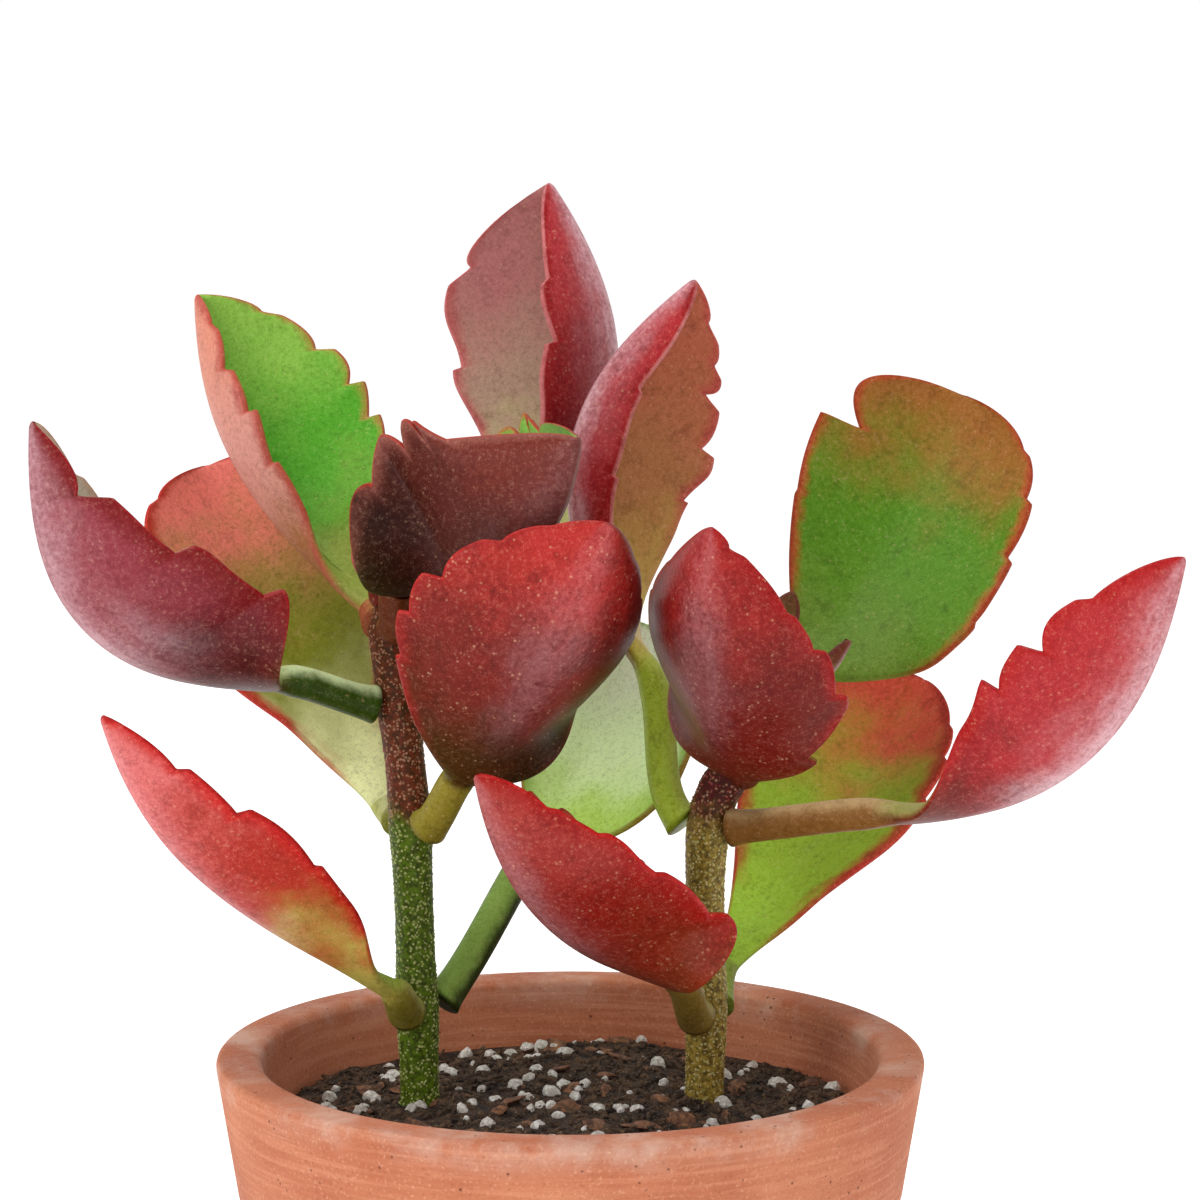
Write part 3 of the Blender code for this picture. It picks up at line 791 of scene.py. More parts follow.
class Leaf:
    """A leaf on its stalk, from its joint on the stem to its tip.

    joint       height of the stem's joint
    neck, tip   where the blade starts and ends
    face        the way its upper side looks, at mid length
    halves      widths of the left and the right half of the blade, laid flat
    sag         how far the midrib bows under the line from neck to tip, nearer the neck and
                nearer the tip
    fold        how far the left and the right half rise from flat at the midrib, in degrees
    curl        how much further each half turns before its edge, in degrees
    widest      share of the blade's length where each half is widest
    shoulder    how each half widens from the stalk: over 1 like a wedge, under 1 rounded
    blunt       how each half narrows to the tip: 0.8 pointed, 0.4 broad and round
    back        how far the edges sweep back toward the stem at the blade's base, as a share of
                the width there
    left_notches, right_notches
                of that edge: the share of the length where each is, and its depth as a share of
                the half's width
    lobed       whether the teeth are rounded lobes, not points that look to the tip
    stalk       thickness of the stalk, as a share of the usual one
    wave        how far the edges wave up and down, in millimetres
    """

    def __init__(self, name, stem, joint, neck, tip, face, halves, sag=(4, 4), fold=(20, 20),
                 curl=(25, 25), widest=(0.55, 0.55), shoulder=(1.3, 1.3), blunt=(0.6, 0.6),
                 back=0, left_notches=(), right_notches=(), lobed=False, stalk=1.0, wave=0.35):
        self.name = name
        self.stem = stem
        self.joint = in_world((0, 0, joint))[2]
        self.neck = in_world(neck)
        self.tip = in_world(tip)
        self.face = unit(np.array(face, float))
        self.halves = [w * MM for w in halves]
        self.sag = [s * MM for s in sag]
        self.fold = np.radians(fold)
        self.curl = np.radians(curl)
        self.widest, self.shoulder, self.blunt = widest, shoulder, blunt
        self.back = back
        self.notches = (left_notches, right_notches)
        self.lobed = lobed
        self.stalk = stalk
        self.wave = wave * MM
        rng = np.random.default_rng(sum(map(ord, name)))
        self.beat = rng.uniform(2.2, 3.6, 2)
        self.start = rng.uniform(0, 1, 2)
        clear = stem.radius(self.joint)
        for _ in range(5):
            self.shape_spine(clear)
            points = self.surface(np.linspace(-1, -0.2, 5), 6)[0].reshape(-1, 3)
            clear += NECK_CLEARANCE - min(stem.gap(p) for p in points)
        # the stalk's end sinks into the stem's skin
        self.shape_spine(clear - STALK_SINK)

    def shape_spine(self, clear):
        """The centreline of the stalk and the midrib, and its frame at each fine step."""
        chord = self.tip - self.neck
        along = unit(chord)
        self.face = unit(self.face - (self.face @ along) * along)
        first = self.neck + chord / 3 - self.face * self.sag[0] * 4 / 3
        second = self.neck + chord * 2 / 3 - self.face * self.sag[1] * 4 / 3
        fine = np.linspace(0, 1, 61)
        blade = bezier(self.neck, first, second, self.tip, fine)
        core = self.stem.centre(self.joint)
        out = self.neck - core
        climb = min(math.atan2(out[2], math.hypot(out[0], out[1])), MOST_CLIMB)
        out[2] = 0
        out = unit(out)
        start = core + out * clear
        reach = np.linalg.norm(self.neck - start)
        leaving = out * math.cos(climb) + np.array([0, 0, math.sin(climb)])
        heading = unit(first - self.neck)
        ease = reach * STALK_EASE
        stalk = bezier(start, start + leaving * ease, self.neck - heading * ease, self.neck, fine)
        points = np.concatenate([stalk[:-1], blade])
        self.share = np.concatenate([fine[:-1] - 1, fine])
        tangents = np.gradient(points, axis=0)
        tangents /= np.linalg.norm(tangents, axis=1)[:, None]
        normals = np.zeros_like(points)
        middle = len(stalk) - 1 + len(fine) // 2
        normals[middle] = unit(self.face - (self.face @ tangents[middle]) * tangents[middle])
        for order in (range(middle + 1, len(points)), range(middle - 1, -1, -1)):
            last = normals[middle]
            for k in order:
                last = unit(last - (last @ tangents[k]) * tangents[k])
                normals[k] = last
        self.points, self.tangents, self.normals = points, tangents, normals
        self.stalk_length = np.linalg.norm(np.diff(stalk, axis=0), axis=1).sum()
        self.blade_length = np.linalg.norm(np.diff(blade, axis=0), axis=1).sum()

    def frames(self, shares):
        """(places, tangents, normals, sides) at shares of the length."""
        places, tangents, normals = (
            np.stack([np.interp(shares, self.share, table[:, k]) for k in range(3)], axis=1)
            for table in (self.points, self.tangents, self.normals)
        )
        tangents /= np.linalg.norm(tangents, axis=1)[:, None]
        normals -= (normals * tangents).sum(1)[:, None] * tangents
        normals /= np.linalg.norm(normals, axis=1)[:, None]
        return places, tangents, normals, np.cross(tangents, normals)

    def outline(self, shares, half):
        """Widths of the left (0) or the right (1) half before its teeth are cut."""
        neck = STALK_HALF_WIDTH * self.stalk
        widest, blunt, full = self.widest[half], self.blunt[half], self.halves[half]
        rise = np.sin(np.pi / 2 * np.clip(shares / widest, 0, 1)) ** self.shoulder[half]
        fall = np.clip((shares - widest) / (1 - widest), 0, 1)
        falling = full * (1 - fall ** (1.5 / blunt)) ** blunt
        return np.where(shares < widest, neck + (full - neck) * rise, falling)

    def cut(self, shares, half):
        """Shares of the widths that the notches take, deepest just past each tooth's point."""
        taken = np.zeros_like(shares)
        notches = self.notches[half]
        for k, (at, depth) in enumerate(notches):
            last = k + 1 == len(notches)
            if self.lobed:
                drop = 0.5 * (at - (notches[k - 1][0] if k else 0.1))
                falling = np.clip((shares - at + drop) / drop, 0, 1) ** 2.2
                end = 1 if last else (at + notches[k + 1][0]) / 2
            else:
                drop = TOOTH_POINT / self.blade_length
                falling = smoothstep(at - drop, at, shares)
                end = min(at + 0.22, 1) if last else notches[k + 1][0] - drop
            rising = (1 - np.clip((shares - at) / (end - at), 0, 1)) ** 1.9
            taken = np.maximum(taken, depth * np.where(shares < at, falling, rising))
        return taken

    def surface(self, shares, half_steps):
        """Points of the upper and of the under side, row by row from the left edge to the
        right, with their place across, -1 to 1, and their distance from the edge."""
        places, tangents, normals, sides = self.frames(shares)
        opened = smoothstep(0.0, 0.28, shares)[:, None]
        flat = flatness(shares)
        depth = STALK_HALF_DEPTH * self.stalk
        depth = depth + (BLADE_THICKNESS / 2 - depth) * flat
        depth *= 1 - TIP_THINNING * smoothstep(0.6, 1.0, shares)[:, None]
        past = np.clip((shares[:, None] - TIP_ROUNDS_FROM) / 0.0152, 0, 1)
        depth *= np.sqrt(np.clip(1 - past**2, 0, 1))
        sweep = self.back * opened * (1 - smoothstep(0.05, 0.6, shares)[:, None])
        # where the stalk meets the stem its foot widens
        from_stem = np.maximum(shares + 1, 0) * self.stalk_length
        foot = 1 + FOOT_FLARE * np.exp(-from_stem / FOOT_LENGTH)
        steps = np.linspace(0, 1, half_steps)[None, :]
        halves = []
        for half, sign in ((0, -1), (1, 1)):
            widths = (self.outline(shares, half) * foot)[:, None]
            kept = (1 - self.cut(shares, half))[:, None]
            rim = np.clip(1 - depth * RIM_THICKNESS_SHARE / widths, 0, 1)
            body = (half_steps - RIM_STEPS) / (half_steps - 1)
            turn = np.clip((steps - body) / (1 - body), 0, 1) * np.pi / 2
            inner = np.clip(steps / body, 0, 1)
            flat_reach = rim * inner + (1 - rim) * np.sin(turn)
            # a notch draws in only the outer part of the blade
            flat_reach = flat_reach - (1 - kept) * smoothstep(0.55, 1, inner)
            reach = np.sin(steps * np.pi / 2) * (1 - flat) + flat_reach * flat
            round_lift = np.sqrt(np.clip(1 - reach**2, 0, 1))
            flat_lift = (1 - (1 - RIM_THICKNESS_SHARE) * inner**2) * np.cos(turn)
            lift = depth * foot[:, None] * (round_lift + (flat_lift - round_lift) * flat)
            angle = self.fold[half] * opened * smoothstep(-0.02, 0.13, reach)
            angle = angle + self.curl[half] * opened * reach
            run = np.diff(reach, axis=1) * widths
            middle = (angle[:, 1:] + angle[:, :-1]) / 2
            across, rise = (
                np.concatenate([0 * widths, np.cumsum(run * part(middle), axis=1)], axis=1)
                for part in (np.cos, np.sin))
            phase = 2 * np.pi * (shares[:, None] * self.beat[half] + self.start[half])
            rise = rise + self.wave * opened * reach**2 * np.sin(phase)
            swept = widths * sweep * reach**2
            centre = (places[:, None] + sides[:, None] * (sign * across)[..., None]
                      + normals[:, None] * rise[..., None] - tangents[:, None] * swept[..., None])
            up = (normals[:, None] * np.cos(angle)[..., None]
                  - sides[:, None] * (sign * np.sin(angle))[..., None])
            halves.append((centre + up * lift[..., None], centre - up * lift[..., None],
                           sign * reach, widths * (kept - reach)))
        return [np.concatenate([at_left[:, ::-1], at_right[:, 1:]], axis=1)
                for at_left, at_right in zip(*halves)]

    def rows(self):
        """Shares of the length that get a row of points, closer round each notch."""
        stalk_rows = max(12, round(self.stalk_length / (0.7 * MM)))
        blade_rows = max(24, round(self.blade_length / (0.42 * MM)))
        rows = [np.linspace(-1, 0, stalk_rows), np.linspace(0, TIP_ROUNDS_FROM, blade_rows),
                np.linspace(TIP_ROUNDS_FROM, TIP_LAST_ROW, 7)]
        for notches in self.notches:
            for at, _ in notches:
                close = np.array([-1.2, -0.9, -0.6, -0.35, -0.15, 0, 0.2]) * MM
                rows.append(at + close / self.blade_length)
        rows = np.unique(np.concatenate(rows))
        rows = rows[rows <= TIP_LAST_ROW]
        return rows[np.concatenate([[True], np.diff(rows) > 0.0004])]

    def mesh(self):
        """A closed mesh. Each point knows its share of the length, its place across, its
        distance from the edge and whether it is on the upper side."""
        shares = self.rows()
        upper, under, across, inward = self.surface(shares, HALF_STEPS)
        rows, columns = across.shape
        ring = np.concatenate([upper, under[:, -2:0:-1]], axis=1)
        around = np.concatenate([across, across[:, -2:0:-1]], axis=1)
        edge = np.concatenate([inward, inward[:, -2:0:-1]], axis=1)
        # the blade has two faces, and the round stalk turns slowly from one to the other
        level = np.sqrt(np.clip(1 - across**2, 0, 1))
        level += (1 - level) * flatness(shares)
        side = np.concatenate([0.5 + level / 2, 0.5 - level[:, -2:0:-1] / 2], axis=1)
        side[:, [0, columns - 1]] = 0.5
        count = ring.shape[1]
        first = np.arange(rows - 1)[:, None] * count + np.arange(count)[None]
        after = np.arange(rows - 1)[:, None] * count + (np.arange(count)[None] + 1) % count
        quads = np.stack([first, after, after + count, first + count], axis=-1).reshape(-1, 4)
        faces = [tuple(q) for q in quads.tolist()]
        faces.append(tuple(range(count - 1, -1, -1)))
        faces.append(tuple(range((rows - 1) * count, rows * count)))
        mesh = bpy.data.meshes.new(self.name)
        mesh.from_pydata(ring.reshape(-1, 3).tolist(), [], faces)
        along = np.repeat(shares[:, None], count, axis=1)
        for name, values in (("along", along), ("across", around), ("edge", edge / MM),
                             ("upper", side)):
            attribute = mesh.attributes.new(name, "FLOAT", "POINT")
            attribute.data.foreach_set("value", values.reshape(-1).astype(np.float32))
        mesh.shade_smooth()
        return mesh


def pigment(red, green, blue):
    """A painter's colour as the skin itself has it, without a room's pale shine over it."""
    colour = paint(red, green, blue)[:3]
    strongest = max(colour)
    return (*(strongest * (c / strongest) ** 1.28 for c in colour), 1)


def leaf_skin(name, under, upper, under_edge, upper_edge, rim, stalk, edge_reach=(3, 3),
              wax_and_highlight=0.3, keel=0.55, painted_side_shade=0, mottle=0.5, specks=0.5, shine=0.42):
    """Skin of a leaf. Under and upper are its colours at the neck, the middle and the tip, and
    stalk those of the stalk's two sides, its paler upper side partly a painted highlight and its
    darker under side partly painted shade. The edge colours reach in by so many millimetres, a
    pale wax bloom with a painted highlight lies along the keel of the under side, and painted
    shade darkens the under side of the left half."""
    skin = Finish(name, IOR=1.42, Specular_IOR_Level=0.18, Coat_Roughness=0.22)
    under, upper, stalk = ([pigment(*c) for c in colours] for colours in (under, upper, stalk))
    under_edge, upper_edge, rim = (pigment(*c) for c in (under_edge, upper_edge, rim))
    along, across, edge, side = (
        skin.node("ShaderNodeAttribute", {"attribute_name": kept}, output=2)
        for kept in ("along", "across", "edge", "upper"))
    clouds = skin.noise(105, 3, 0.55)
    blots = skin.noise(330, 3, 0.6)
    grain = skin.noise(1350, 3, 0.65)
    dust = skin.noise(4600, 2, 0.6)
    drift = along + (clouds - 0.5) * 0.5 + (grain - 0.5) * 0.12

    def down_the_leaf(colours):
        neck, middle, tip = colours
        first = skin.blend(skin.step(0.05, 0.5, drift), neck, middle)
        return skin.blend(skin.step(0.5, 0.95, drift), first, tip)

    def edged(colour, edge_colour, reach, start):
        ragged = edge + (blots - 0.5) * 3.2 + (clouds - 0.5) * 3
        near = skin.step(reach, 0.1, ragged) * skin.step(start, start + 0.25, drift)
        return skin.blend(near * 0.9, colour, edge_colour)

    def darkened(share, colour, *kept):
        return skin.blend(share, colour, skin.blend(1.0, colour, (*kept, 1), "MULTIPLY"))

    def lightened(share, colour, strength, light):
        return skin.blend(share, colour, skin.blend(strength, colour, light))

    under_colour = edged(down_the_leaf(under), under_edge, edge_reach[0], 0.02)
    upper_colour = edged(down_the_leaf(upper), upper_edge, edge_reach[1], 0.1)
    lines = skin.node("ShaderNodeCombineXYZ", values={0: across * 5, 1: along * 2, 2: blots * 0.8})
    streaks = skin.noise(1, 4, 0.6, lines)
    # along the keel of the under side: a pale wax bloom, with a painted highlight in the same
    # colour
    midway = skin.step(keel, 0.0, skin.sum("ABSOLUTE", across) + (clouds - 0.5) * 0.6)
    mist = 0.35 + 0.65 * skin.step(0.36, 0.66, streaks * 0.7 + grain * 0.3)
    wax_and_highlight_share = midway * midway * mist * skin.step(0.08, 0.4, along) * wax_and_highlight
    under_colour = skin.blend(wax_and_highlight_share, under_colour, paint(232, 200, 208))
    # painted shade over the left half of the under side
    shaded = skin.step(0.05, -0.75, across + (clouds - 0.5) * 0.6) * painted_side_shade
    under_colour = darkened(shaded, under_colour, 0.36, 0.2, 0.16)
    colour = skin.blend(side, under_colour, upper_colour)
    # a thin line of the rim colour along the edge, in random strength: a red margin is the leaf's
    # own, a pale one is a painted highlight on the lit edge
    rim_line_strength = skin.step(0.3, 0.6, blots * 0.5 + clouds * 0.5) * 0.55 + 0.4
    colour = skin.blend(skin.step(0.6, 0.1, edge) * skin.step(0.03, 0.2, along) * rim_line_strength, colour, rim)
    # the stalk runs into the blade without a line
    # painted light on the stalk: its paler upper side is partly a painted highlight, its darker
    # under side partly painted shade
    stalk_colour_with_painted_light = skin.blend(skin.step(0.6, 1, side + (blots - 0.5) * 0.3), *stalk)
    colour = skin.blend(skin.step(0.06, -0.16, along + (clouds - 0.5) * 0.3), colour, stalk_colour_with_painted_light)
    dark = skin.step(0.54, 0.28, blots * 0.6 + grain * 0.4) * mottle
    colour = darkened(dark, colour, 0.42, 0.36, 0.34)
    light = skin.step(0.5, 0.7, grain * 0.5 + dust * 0.5) * 0.5
    colour = lightened(light, colour, 0.2, paint(255, 222, 190))
    deep = skin.step(0.52, 0.36, dust * 0.6 + grain * 0.4) * 0.55
    colour = darkened(deep, colour, 0.6, 0.55, 0.5)
    chosen = skin.step(0.5, 0.62, skin.noise(520, 1))
    speck = skin.step(0.32, 0.08, skin.cells(1050)) * chosen * specks
    colour = lightened(speck, colour, 0.34, paint(255, 200, 160))
    skin.set("Base Color", colour)
    skin.set("Roughness", shine - 0.06 + 0.16 * grain + 0.1 * side)
    skin.set("Coat Weight", 0.07 * (1 - side * 0.6))
    skin.relief(grain * 0.7 + dust * 0.3 + speck * 0.35 + blots * 0.8, 0.5, 0.22 * MM)
    return skin


def grow(leaf, skin):
    obj = finished(f"{leaf.name}_grown", leaf.mesh(), skin)
    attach(obj, "root")
    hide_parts(leaf.name)


grow(
    Leaf("leaf_left_1_front", left, 15, neck=(-27, -10, 20), tip=(-66.7, -30, 64.8),
         face=(0.6, 0.35, 0.7), halves=(15.5, 15), sag=(4, 9), fold=(40, 45), curl=(15, 15),
         widest=(0.5, 0.5), shoulder=(1.4, 1.4), blunt=(0.8, 0.8), back=0.3,
         left_notches=((0.42, 0.06), (0.66, 0.13), (0.84, 0.15)),
         right_notches=((0.5, 0.1), (0.75, 0.12))),
    leaf_skin("left_lowest_front_skin", under=((186, 178, 100), (172, 52, 34), (214, 124, 122)),
         upper=((150, 170, 70), (170, 130, 80), (196, 120, 100)), under_edge=(196, 30, 26),
         upper_edge=(190, 90, 60), rim=(176, 26, 24), stalk=((128, 122, 52), (150, 150, 80)),
         wax_and_highlight=0.22, mottle=0.45, specks=0.5))
grow(
    Leaf("leaf_left_1_back", left, 15, neck=(-5.5, 16, 36.5), tip=(12, 38, 68),
         face=(-0.3, -0.8, 0.5), halves=(16, 20), sag=(3, 3), fold=(25, 10), curl=(20, 20),
         widest=(0.6, 0.35), shoulder=(1.5, 1), left_notches=((0.5, 0.05), (0.72, 0.06)),
         right_notches=((0.55, 0.05), (0.75, 0.06))),
    # the upper side's nearly white middle and tip are a painted highlight
    leaf_skin("left_lowest_back_skin", under=((140, 170, 60), (150, 180, 80), (170, 150, 80)),
         upper=((196, 230, 110), (236, 255, 206), (244, 255, 230)), under_edge=(160, 120, 50),
         upper_edge=(128, 168, 20), rim=(150, 120, 50), stalk=((50, 62, 18), (150, 178, 96)),
         edge_reach=(2, 5), mottle=0.1, specks=0.2, shine=0.36))

# ---------------------------------------------------------------- second leaves, left stem
# The biggest pair. The front one turns its back, a broad dark red bowl that goes brown and green
# at its stalk; the back one stands open, flushed red at its top.

grow(
    Leaf("leaf_left_2_front", left, 43.4, neck=(-16, -10, 52.4), tip=(5.5, -30, 92.7),
         face=(-0.2, 0.9, 0.3), halves=(23, 23), sag=(7, 7), fold=(25, 10), curl=(40, 20),
         widest=(0.5, 0.55), shoulder=(0.75, 1), blunt=(0.6, 0.72), back=0.15,
         left_notches=((0.4, 0.04), (0.6, 0.05), (0.78, 0.07), (0.92, 0.1)),
         right_notches=((0.36, 0.05), (0.52, 0.07), (0.68, 0.12), (0.86, 0.1), (0.95, 0.08))),
    # the under side's left half is darkened with painted shade
    leaf_skin("left_second_front_skin", under=((76, 48, 10), (122, 38, 28), (182, 62, 58)),
         upper=((120, 150, 60), (150, 120, 70), (190, 90, 70)), under_edge=(158, 44, 42),
         upper_edge=(190, 80, 60), rim=(188, 56, 52), stalk=((152, 142, 60), (150, 150, 80)),
         wax_and_highlight=0.12, painted_side_shade=0.9, mottle=0.6, specks=0.9))
grow(
    Leaf("leaf_left_2_back", left, 43.4, neck=(-28.4, 8, 45.2), tip=(-57, 34, 94),
         face=(0.3, -0.8, 0.4), halves=(22, 18), sag=(3, 3), fold=(15, 15), widest=(0.62, 0.62),
         shoulder=(1.7, 1.7), blunt=(0.45, 0.45),
         left_notches=((0.6, 0.04), (0.8, 0.06), (0.94, 0.1)),
         right_notches=((0.5, 0.05), (0.75, 0.07))),
    # the upper side's nearly white neck is a painted highlight
    leaf_skin("left_second_back_skin", under=((170, 180, 90), (160, 90, 60), (176, 50, 44)),
         upper=((250, 254, 200), (140, 146, 54), (240, 150, 138)), under_edge=(180, 50, 44),
         upper_edge=(196, 66, 52), rim=(186, 60, 50), stalk=((176, 178, 100), (206, 208, 160)),
         edge_reach=(3, 4), mottle=0.4, specks=0.5))

# ---------------------------------------------------------------- third leaves, left stem
# The front one reaches out to the left on a long green stalk, its wine red back misted with pale
# wax and a painted highlight. The back one stands tall and folded: pink-grey inside, and a dark
# shining red outside, with wax and a painted highlight on it.

grow(
    Leaf("leaf_left_3_front", left, 61.7, neck=(-44.2, -8, 66.4), tip=(-76.7, -24, 106.5),
         face=(0.6, 0.35, 0.7), halves=(23.5, 22.5), sag=(14.5, 14.5), fold=(40, 47),
         curl=(25, 15), widest=(0.4, 0.4), shoulder=(0.6, 0.6), blunt=(0.85, 0.62), back=0.6,
         left_notches=((0.27, 0.1), (0.58, 0.12), (0.85, 0.38)),
         right_notches=((0.55, 0.06), (0.74, 0.06), (0.88, 0.08))),
    leaf_skin("left_third_front_skin", under=((72, 8, 4), (136, 54, 64), (150, 76, 86)),
         upper=((140, 150, 90), (190, 180, 160), (206, 196, 180)), under_edge=(120, 14, 18),
         upper_edge=(200, 170, 150), rim=(150, 26, 34), stalk=((56, 76, 8), (208, 222, 176)),
         edge_reach=(6, 3), wax_and_highlight=0.42, keel=0.8, mottle=0.28, specks=0.4))
grow(
    Leaf("leaf_left_3_back", left, 61.7, neck=(-5, 24, 77), tip=(-3.8, 44, 137.8),
         face=(-0.86, -0.5, 0.15), halves=(26, 18), sag=(11, 14), fold=(45, 60), curl=(15, 25),
         widest=(0.6, 0.5), shoulder=(0.95, 0.6), blunt=(0.35, 0.6),
         left_notches=((0.6, 0.05), (0.93, 0.16)), right_notches=((0.6, 0.1), (0.82, 0.08))),
    # the pale rim colour is a painted highlight along the lit edge
    leaf_skin("left_third_back_skin", under=((90, 8, 10), (142, 36, 42), (176, 66, 72)),
         upper=((188, 194, 130), (172, 146, 130), (182, 126, 124)), under_edge=(148, 24, 30),
         upper_edge=(180, 96, 96), rim=(198, 128, 128), stalk=((130, 130, 60), (150, 160, 80)),
         edge_reach=(2, 3), wax_and_highlight=0.75, keel=0.9, mottle=0.4, specks=0.5, shine=0.3))

# ---------------------------------------------------------------- top leaves, left stem
# The front one is a short brown-red bowl with long lobes near its stalk and green inside; the
# back one is bright green with its left half folded in and pink outside.

grow(
    Leaf("leaf_left_4_front", left, 73.5, neck=(-24.8, -7, 80.5), tip=(1.2, -26, 104.4),
         face=(-0.45, 0.35, 0.8), halves=(32, 27.5), sag=(8, 9), fold=(46, 74), curl=(12, 14),
         widest=(0.5, 0.45), shoulder=(0.6, 0.6), blunt=(0.5, 0.6), back=0.45, lobed=True,
         left_notches=((0.3, 0.1), (0.47, 0.12), (0.64, 0.13), (0.82, 0.15)),
         right_notches=((0.2, 0.12), (0.38, 0.14), (0.57, 0.16), (0.78, 0.1))),
    leaf_skin("left_top_front_skin", under=((44, 16, 8), (90, 38, 27), (112, 48, 38)),
         upper=((120, 160, 70), (130, 170, 80), (140, 176, 90)), under_edge=(146, 92, 82),
         upper_edge=(176, 120, 70), rim=(176, 70, 56), stalk=((112, 62, 36), (140, 100, 60)),
         edge_reach=(4, 1.5), wax_and_highlight=0.1, mottle=0.4, specks=0.3, shine=0.5))
grow(
    Leaf("leaf_left_4_back", left, 73.5, neck=(-30.3, 6, 75.7), tip=(-57.5, 24, 121.5),
         face=(0.72, -0.5, 0.48), halves=(12, 23), sag=(7, 9.5), fold=(55, 45), curl=(25, 10),
         widest=(0.6, 0.5), shoulder=(1.7, 1), blunt=(0.75, 0.52),
         left_notches=((0.45, 0.12), (0.64, 0.16), (0.8, 0.22), (0.93, 0.15)),
         right_notches=((0.3, 0.05), (0.48, 0.08), (0.64, 0.1), (0.81, 0.12), (0.95, 0.14))),
    leaf_skin("left_top_back_skin", under=((176, 126, 84), (214, 158, 146), (214, 150, 130)),
         upper=((150, 160, 84), (102, 172, 56), (156, 196, 94)), under_edge=(190, 110, 100),
         upper_edge=(176, 150, 82), rim=(186, 96, 80), stalk=((166, 100, 70), (170, 130, 80)),
         edge_reach=(2, 2), wax_and_highlight=0.1, mottle=0.3, specks=0.4, shine=0.46))

# ---------------------------------------------------------------- lowest leaves, right stem
# In front a narrow red boat of a leaf that points left; behind a broad green one with a red top.

grow(
    Leaf("leaf_right_1_front", right, 13.8, neck=(14.2, -14, 23), tip=(-12.9, -38, 57.6),
         face=(0.6, 0.3, 0.7), halves=(20.5, 19), sag=(7, 7), fold=(40, 50), curl=(20, 20),
         widest=(0.35, 0.35), shoulder=(0.6, 0.6), blunt=(0.7, 0.7), back=0.7,
         left_notches=((0.3, 0.08), (0.5, 0.04), (0.74, 0.05), (0.88, 0.08)),
         right_notches=((0.35, 0.1), (0.6, 0.08), (0.8, 0.1))),
    leaf_skin("right_lowest_front_skin", under=((128, 60, 34), (134, 36, 24), (164, 66, 60)),
         upper=((130, 150, 70), (170, 120, 80), (190, 100, 90)), under_edge=(158, 10, 6),
         upper_edge=(190, 80, 60), rim=(186, 34, 34), stalk=((128, 110, 52), (150, 140, 80)),
         edge_reach=(5, 3), wax_and_highlight=0.2, mottle=0.5, specks=0.6))
grow(
    Leaf("leaf_right_1_back", right, 13.8, neck=(23.9, 12, 19.3), tip=(56.6, 40, 58.7),
         face=(-0.3, -0.8, 0.5), halves=(18, 16), sag=(3, 3), fold=(15, 15), widest=(0.62, 0.62),
         shoulder=(1.7, 1.7), left_notches=((0.6, 0.04), (0.8, 0.06)),
         right_notches=((0.66, 0.06), (0.8, 0.08), (0.9, 0.08))),
    leaf_skin("right_lowest_back_skin", under=((140, 160, 60), (150, 110, 60), (176, 60, 50)),
         upper=((176, 210, 84), (164, 190, 74), (226, 112, 92)), under_edge=(176, 60, 50),
         upper_edge=(190, 74, 62), rim=(186, 70, 56), stalk=((130, 140, 60), (150, 170, 80)),
         edge_reach=(3, 3.5), mottle=0.45, specks=0.5))

# ---------------------------------------------------------------- second leaves, right stem
# In front a long boat on a brown stalk, rose red with pale wax and a painted highlight along its
# keel, which points up to the right. Behind a tall one, folded like the third left one, with five
# teeth on its right edge.

grow(
    Leaf("leaf_right_2_front", right, 42.5, neck=(49, -12, 47), tip=(87.6, -30, 87.7),
         face=(-0.6, 0.35, 0.7), halves=(21, 21.5), sag=(12.5, 11), fold=(50, 40), curl=(20, 20),
         shoulder=(1, 1), blunt=(0.65, 0.65), left_notches=((0.5, 0.1), (0.7, 0.1), (0.86, 0.1)),
         right_notches=((0.5, 0.14), (0.7, 0.18), (0.88, 0.1))),
    leaf_skin("right_second_front_skin", under=((104, 34, 28), (174, 54, 60), (184, 62, 66)),
         upper=((150, 150, 90), (190, 120, 100), (200, 100, 90)), under_edge=(178, 38, 40),
         upper_edge=(196, 90, 80), rim=(176, 34, 40), stalk=((134, 98, 52), (186, 160, 120)),
         edge_reach=(4, 3), wax_and_highlight=0.62, keel=0.7, mottle=0.3, specks=0.5))
grow(
    Leaf("leaf_right_2_back", right, 42.5, neck=(10.8, 8.8, 67), tip=(19.3, 21.5, 123.8),
         face=(0.93, -0.25, 0.15), halves=(9, 24), sag=(15, 15.5), fold=(65, 42), curl=(25, 10),
         widest=(0.55, 0.6), shoulder=(1.3, 0.9), blunt=(0.6, 0.62),
         left_notches=((0.45, 0.08), (0.75, 0.1)),
         right_notches=((0.4, 0.05), (0.68, 0.1), (0.84, 0.16), (0.91, 0.1), (0.965, 0.2))),
    # the pale rim colour is a painted highlight along the lit edge
    leaf_skin("right_second_back_skin", under=((110, 40, 24), (158, 42, 50), (176, 56, 62)),
         upper=((196, 172, 98), (184, 132, 88), (196, 122, 96)), under_edge=(150, 24, 32),
         upper_edge=(196, 96, 90), rim=(208, 140, 136), stalk=((160, 178, 62), (170, 180, 90)),
         edge_reach=(1.5, 3), wax_and_highlight=0.6, keel=0.9, mottle=0.5, specks=0.6, shine=0.32))

# ---------------------------------------------------------------- top leaves, right stem
# The front one turns its back: a crimson bowl with small teeth down its right edge and two at
# its tip. The back one is the broadest, a flat green spoon with an orange rim and a bitten top.

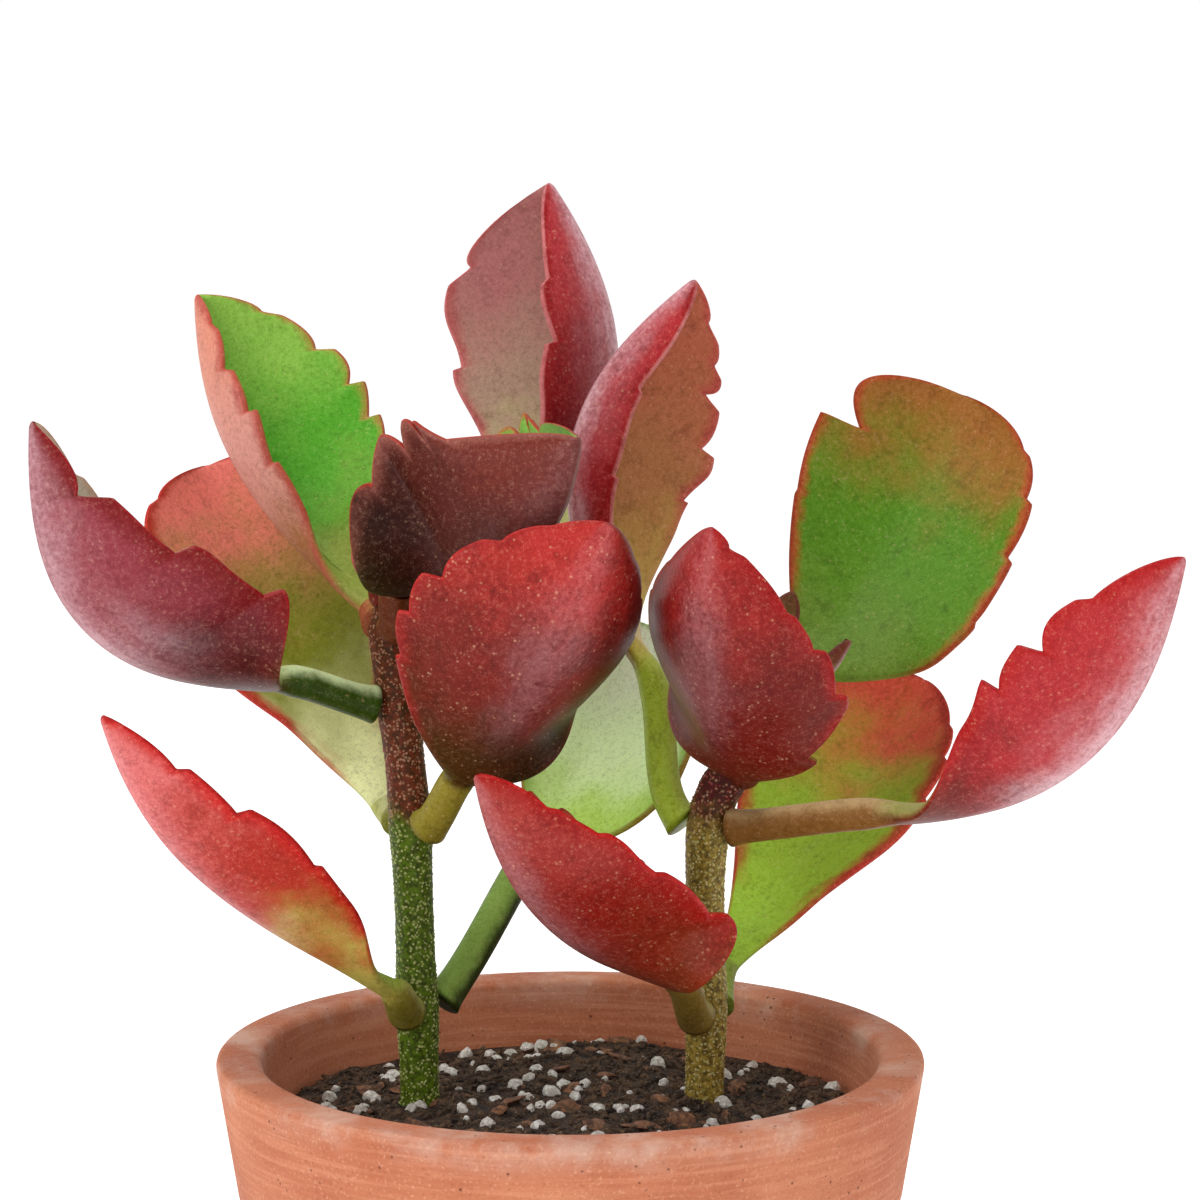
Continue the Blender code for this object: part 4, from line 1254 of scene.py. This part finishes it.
grow(
    Leaf("leaf_right_3_front", right, 53.3, neck=(25.6, -8, 52.5), tip=(20.6, -26, 91.5),
         face=(0.4, 0.8, 0.4), halves=(20, 23), sag=(8, 8), fold=(15, 30), curl=(25, 35),
         widest=(0.35, 0.5), shoulder=(0.65, 0.9), blunt=(0.8, 0.65), back=0.2,
         left_notches=((0.13, 0.18), (0.38, 0.08), (0.6, 0.08), (0.76, 0.06), (0.95, 0.3)),
         right_notches=((0.3, 0.06), (0.5, 0.07), (0.7, 0.08), (0.88, 0.08))),
    leaf_skin("right_top_front_skin", under=((112, 36, 26), (112, 28, 20), (166, 52, 50)),
         upper=((130, 150, 70), (150, 110, 70), (180, 90, 80)), under_edge=(160, 32, 36),
         upper_edge=(180, 80, 60), rim=(176, 46, 48), stalk=((84, 20, 14), (110, 50, 36)),
         edge_reach=(3, 3), wax_and_highlight=0.12, keel=0.5, mottle=0.5, specks=0.7, shine=0.36))
grow(
    Leaf("leaf_right_3_back", right, 53.3, neck=(37.5, 14, 64), tip=(61.3, 36, 105),
         face=(-0.2, -0.9, 0.3), halves=(19, 22.5), sag=(3, 3), fold=(10, 10), widest=(0.72, 0.4),
         shoulder=(1.1, 0.8), blunt=(0.5, 0.45), back=0.3,
         left_notches=((0.5, 0.02), (0.77, 0.36)),
         right_notches=((0.35, 0.03), (0.55, 0.06), (0.75, 0.06), (0.9, 0.05))),
    leaf_skin("right_top_back_skin", under=((120, 140, 60), (150, 100, 60), (176, 70, 50)),
         upper=((112, 140, 56), (94, 136, 34), (156, 108, 52)), under_edge=(176, 70, 50),
         upper_edge=(178, 88, 48), rim=(158, 70, 38), stalk=((110, 90, 50), (120, 130, 60)),
         edge_reach=(3, 2.4), mottle=0.45, specks=0.4))

# ---------------------------------------------------------------- buds
# A pair of tiny unopened leaves sits on the growing tip of each stem: red on the left one, green
# and brown on the right one.

red_bud = leaf_skin("red_bud_skin", under=((150, 30, 26), (190, 40, 36), (200, 60, 50)),
                    upper=((150, 40, 30), (180, 60, 50), (190, 70, 60)), under_edge=(200, 40, 36),
                    upper_edge=(190, 60, 50), rim=(190, 50, 44),
                    stalk=((120, 40, 26), (130, 50, 36)))
green_bud = leaf_skin("green_bud_skin", under=((110, 100, 60), (120, 110, 60), (120, 60, 50)),
                      upper=((110, 120, 60), (110, 130, 60), (120, 80, 60)),
                      under_edge=(120, 70, 50), upper_edge=(120, 90, 60), rim=(110, 60, 50),
                      stalk=((90, 70, 40), (100, 90, 50)))
grow(Leaf("bud_left_front", left, 77.5, neck=(-29.5, -2.5, 80.5), tip=(-31.8, -4.5, 86),
          face=(0.5, 0.4, 0.7), halves=(2.5, 2.5), sag=(0.5, 0.5), stalk=0.4, wave=0), red_bud)
grow(Leaf("bud_left_back", left, 77.5, neck=(-25, 2.5, 80.5), tip=(-22.5, 4.5, 88),
          face=(-0.5, -0.4, 0.7), halves=(3, 3), sag=(0.5, 0.5), stalk=0.4, wave=0), red_bud)
grow(Leaf("bud_right_front", right, 58.5, neck=(32.5, 0.5, 62), tip=(41.8, -2, 71.5),
          face=(-0.5, 0.2, 0.7), halves=(2.5, 2.5), sag=(1, 1), stalk=0.45, wave=0), green_bud)
grow(Leaf("bud_right_back", right, 58.5, neck=(28.5, 6.5, 65), tip=(33.8, 7, 77.5),
          face=(0.2, -0.8, 0.3), halves=(3, 3), sag=(1, 1), stalk=0.45, wave=0), green_bud)
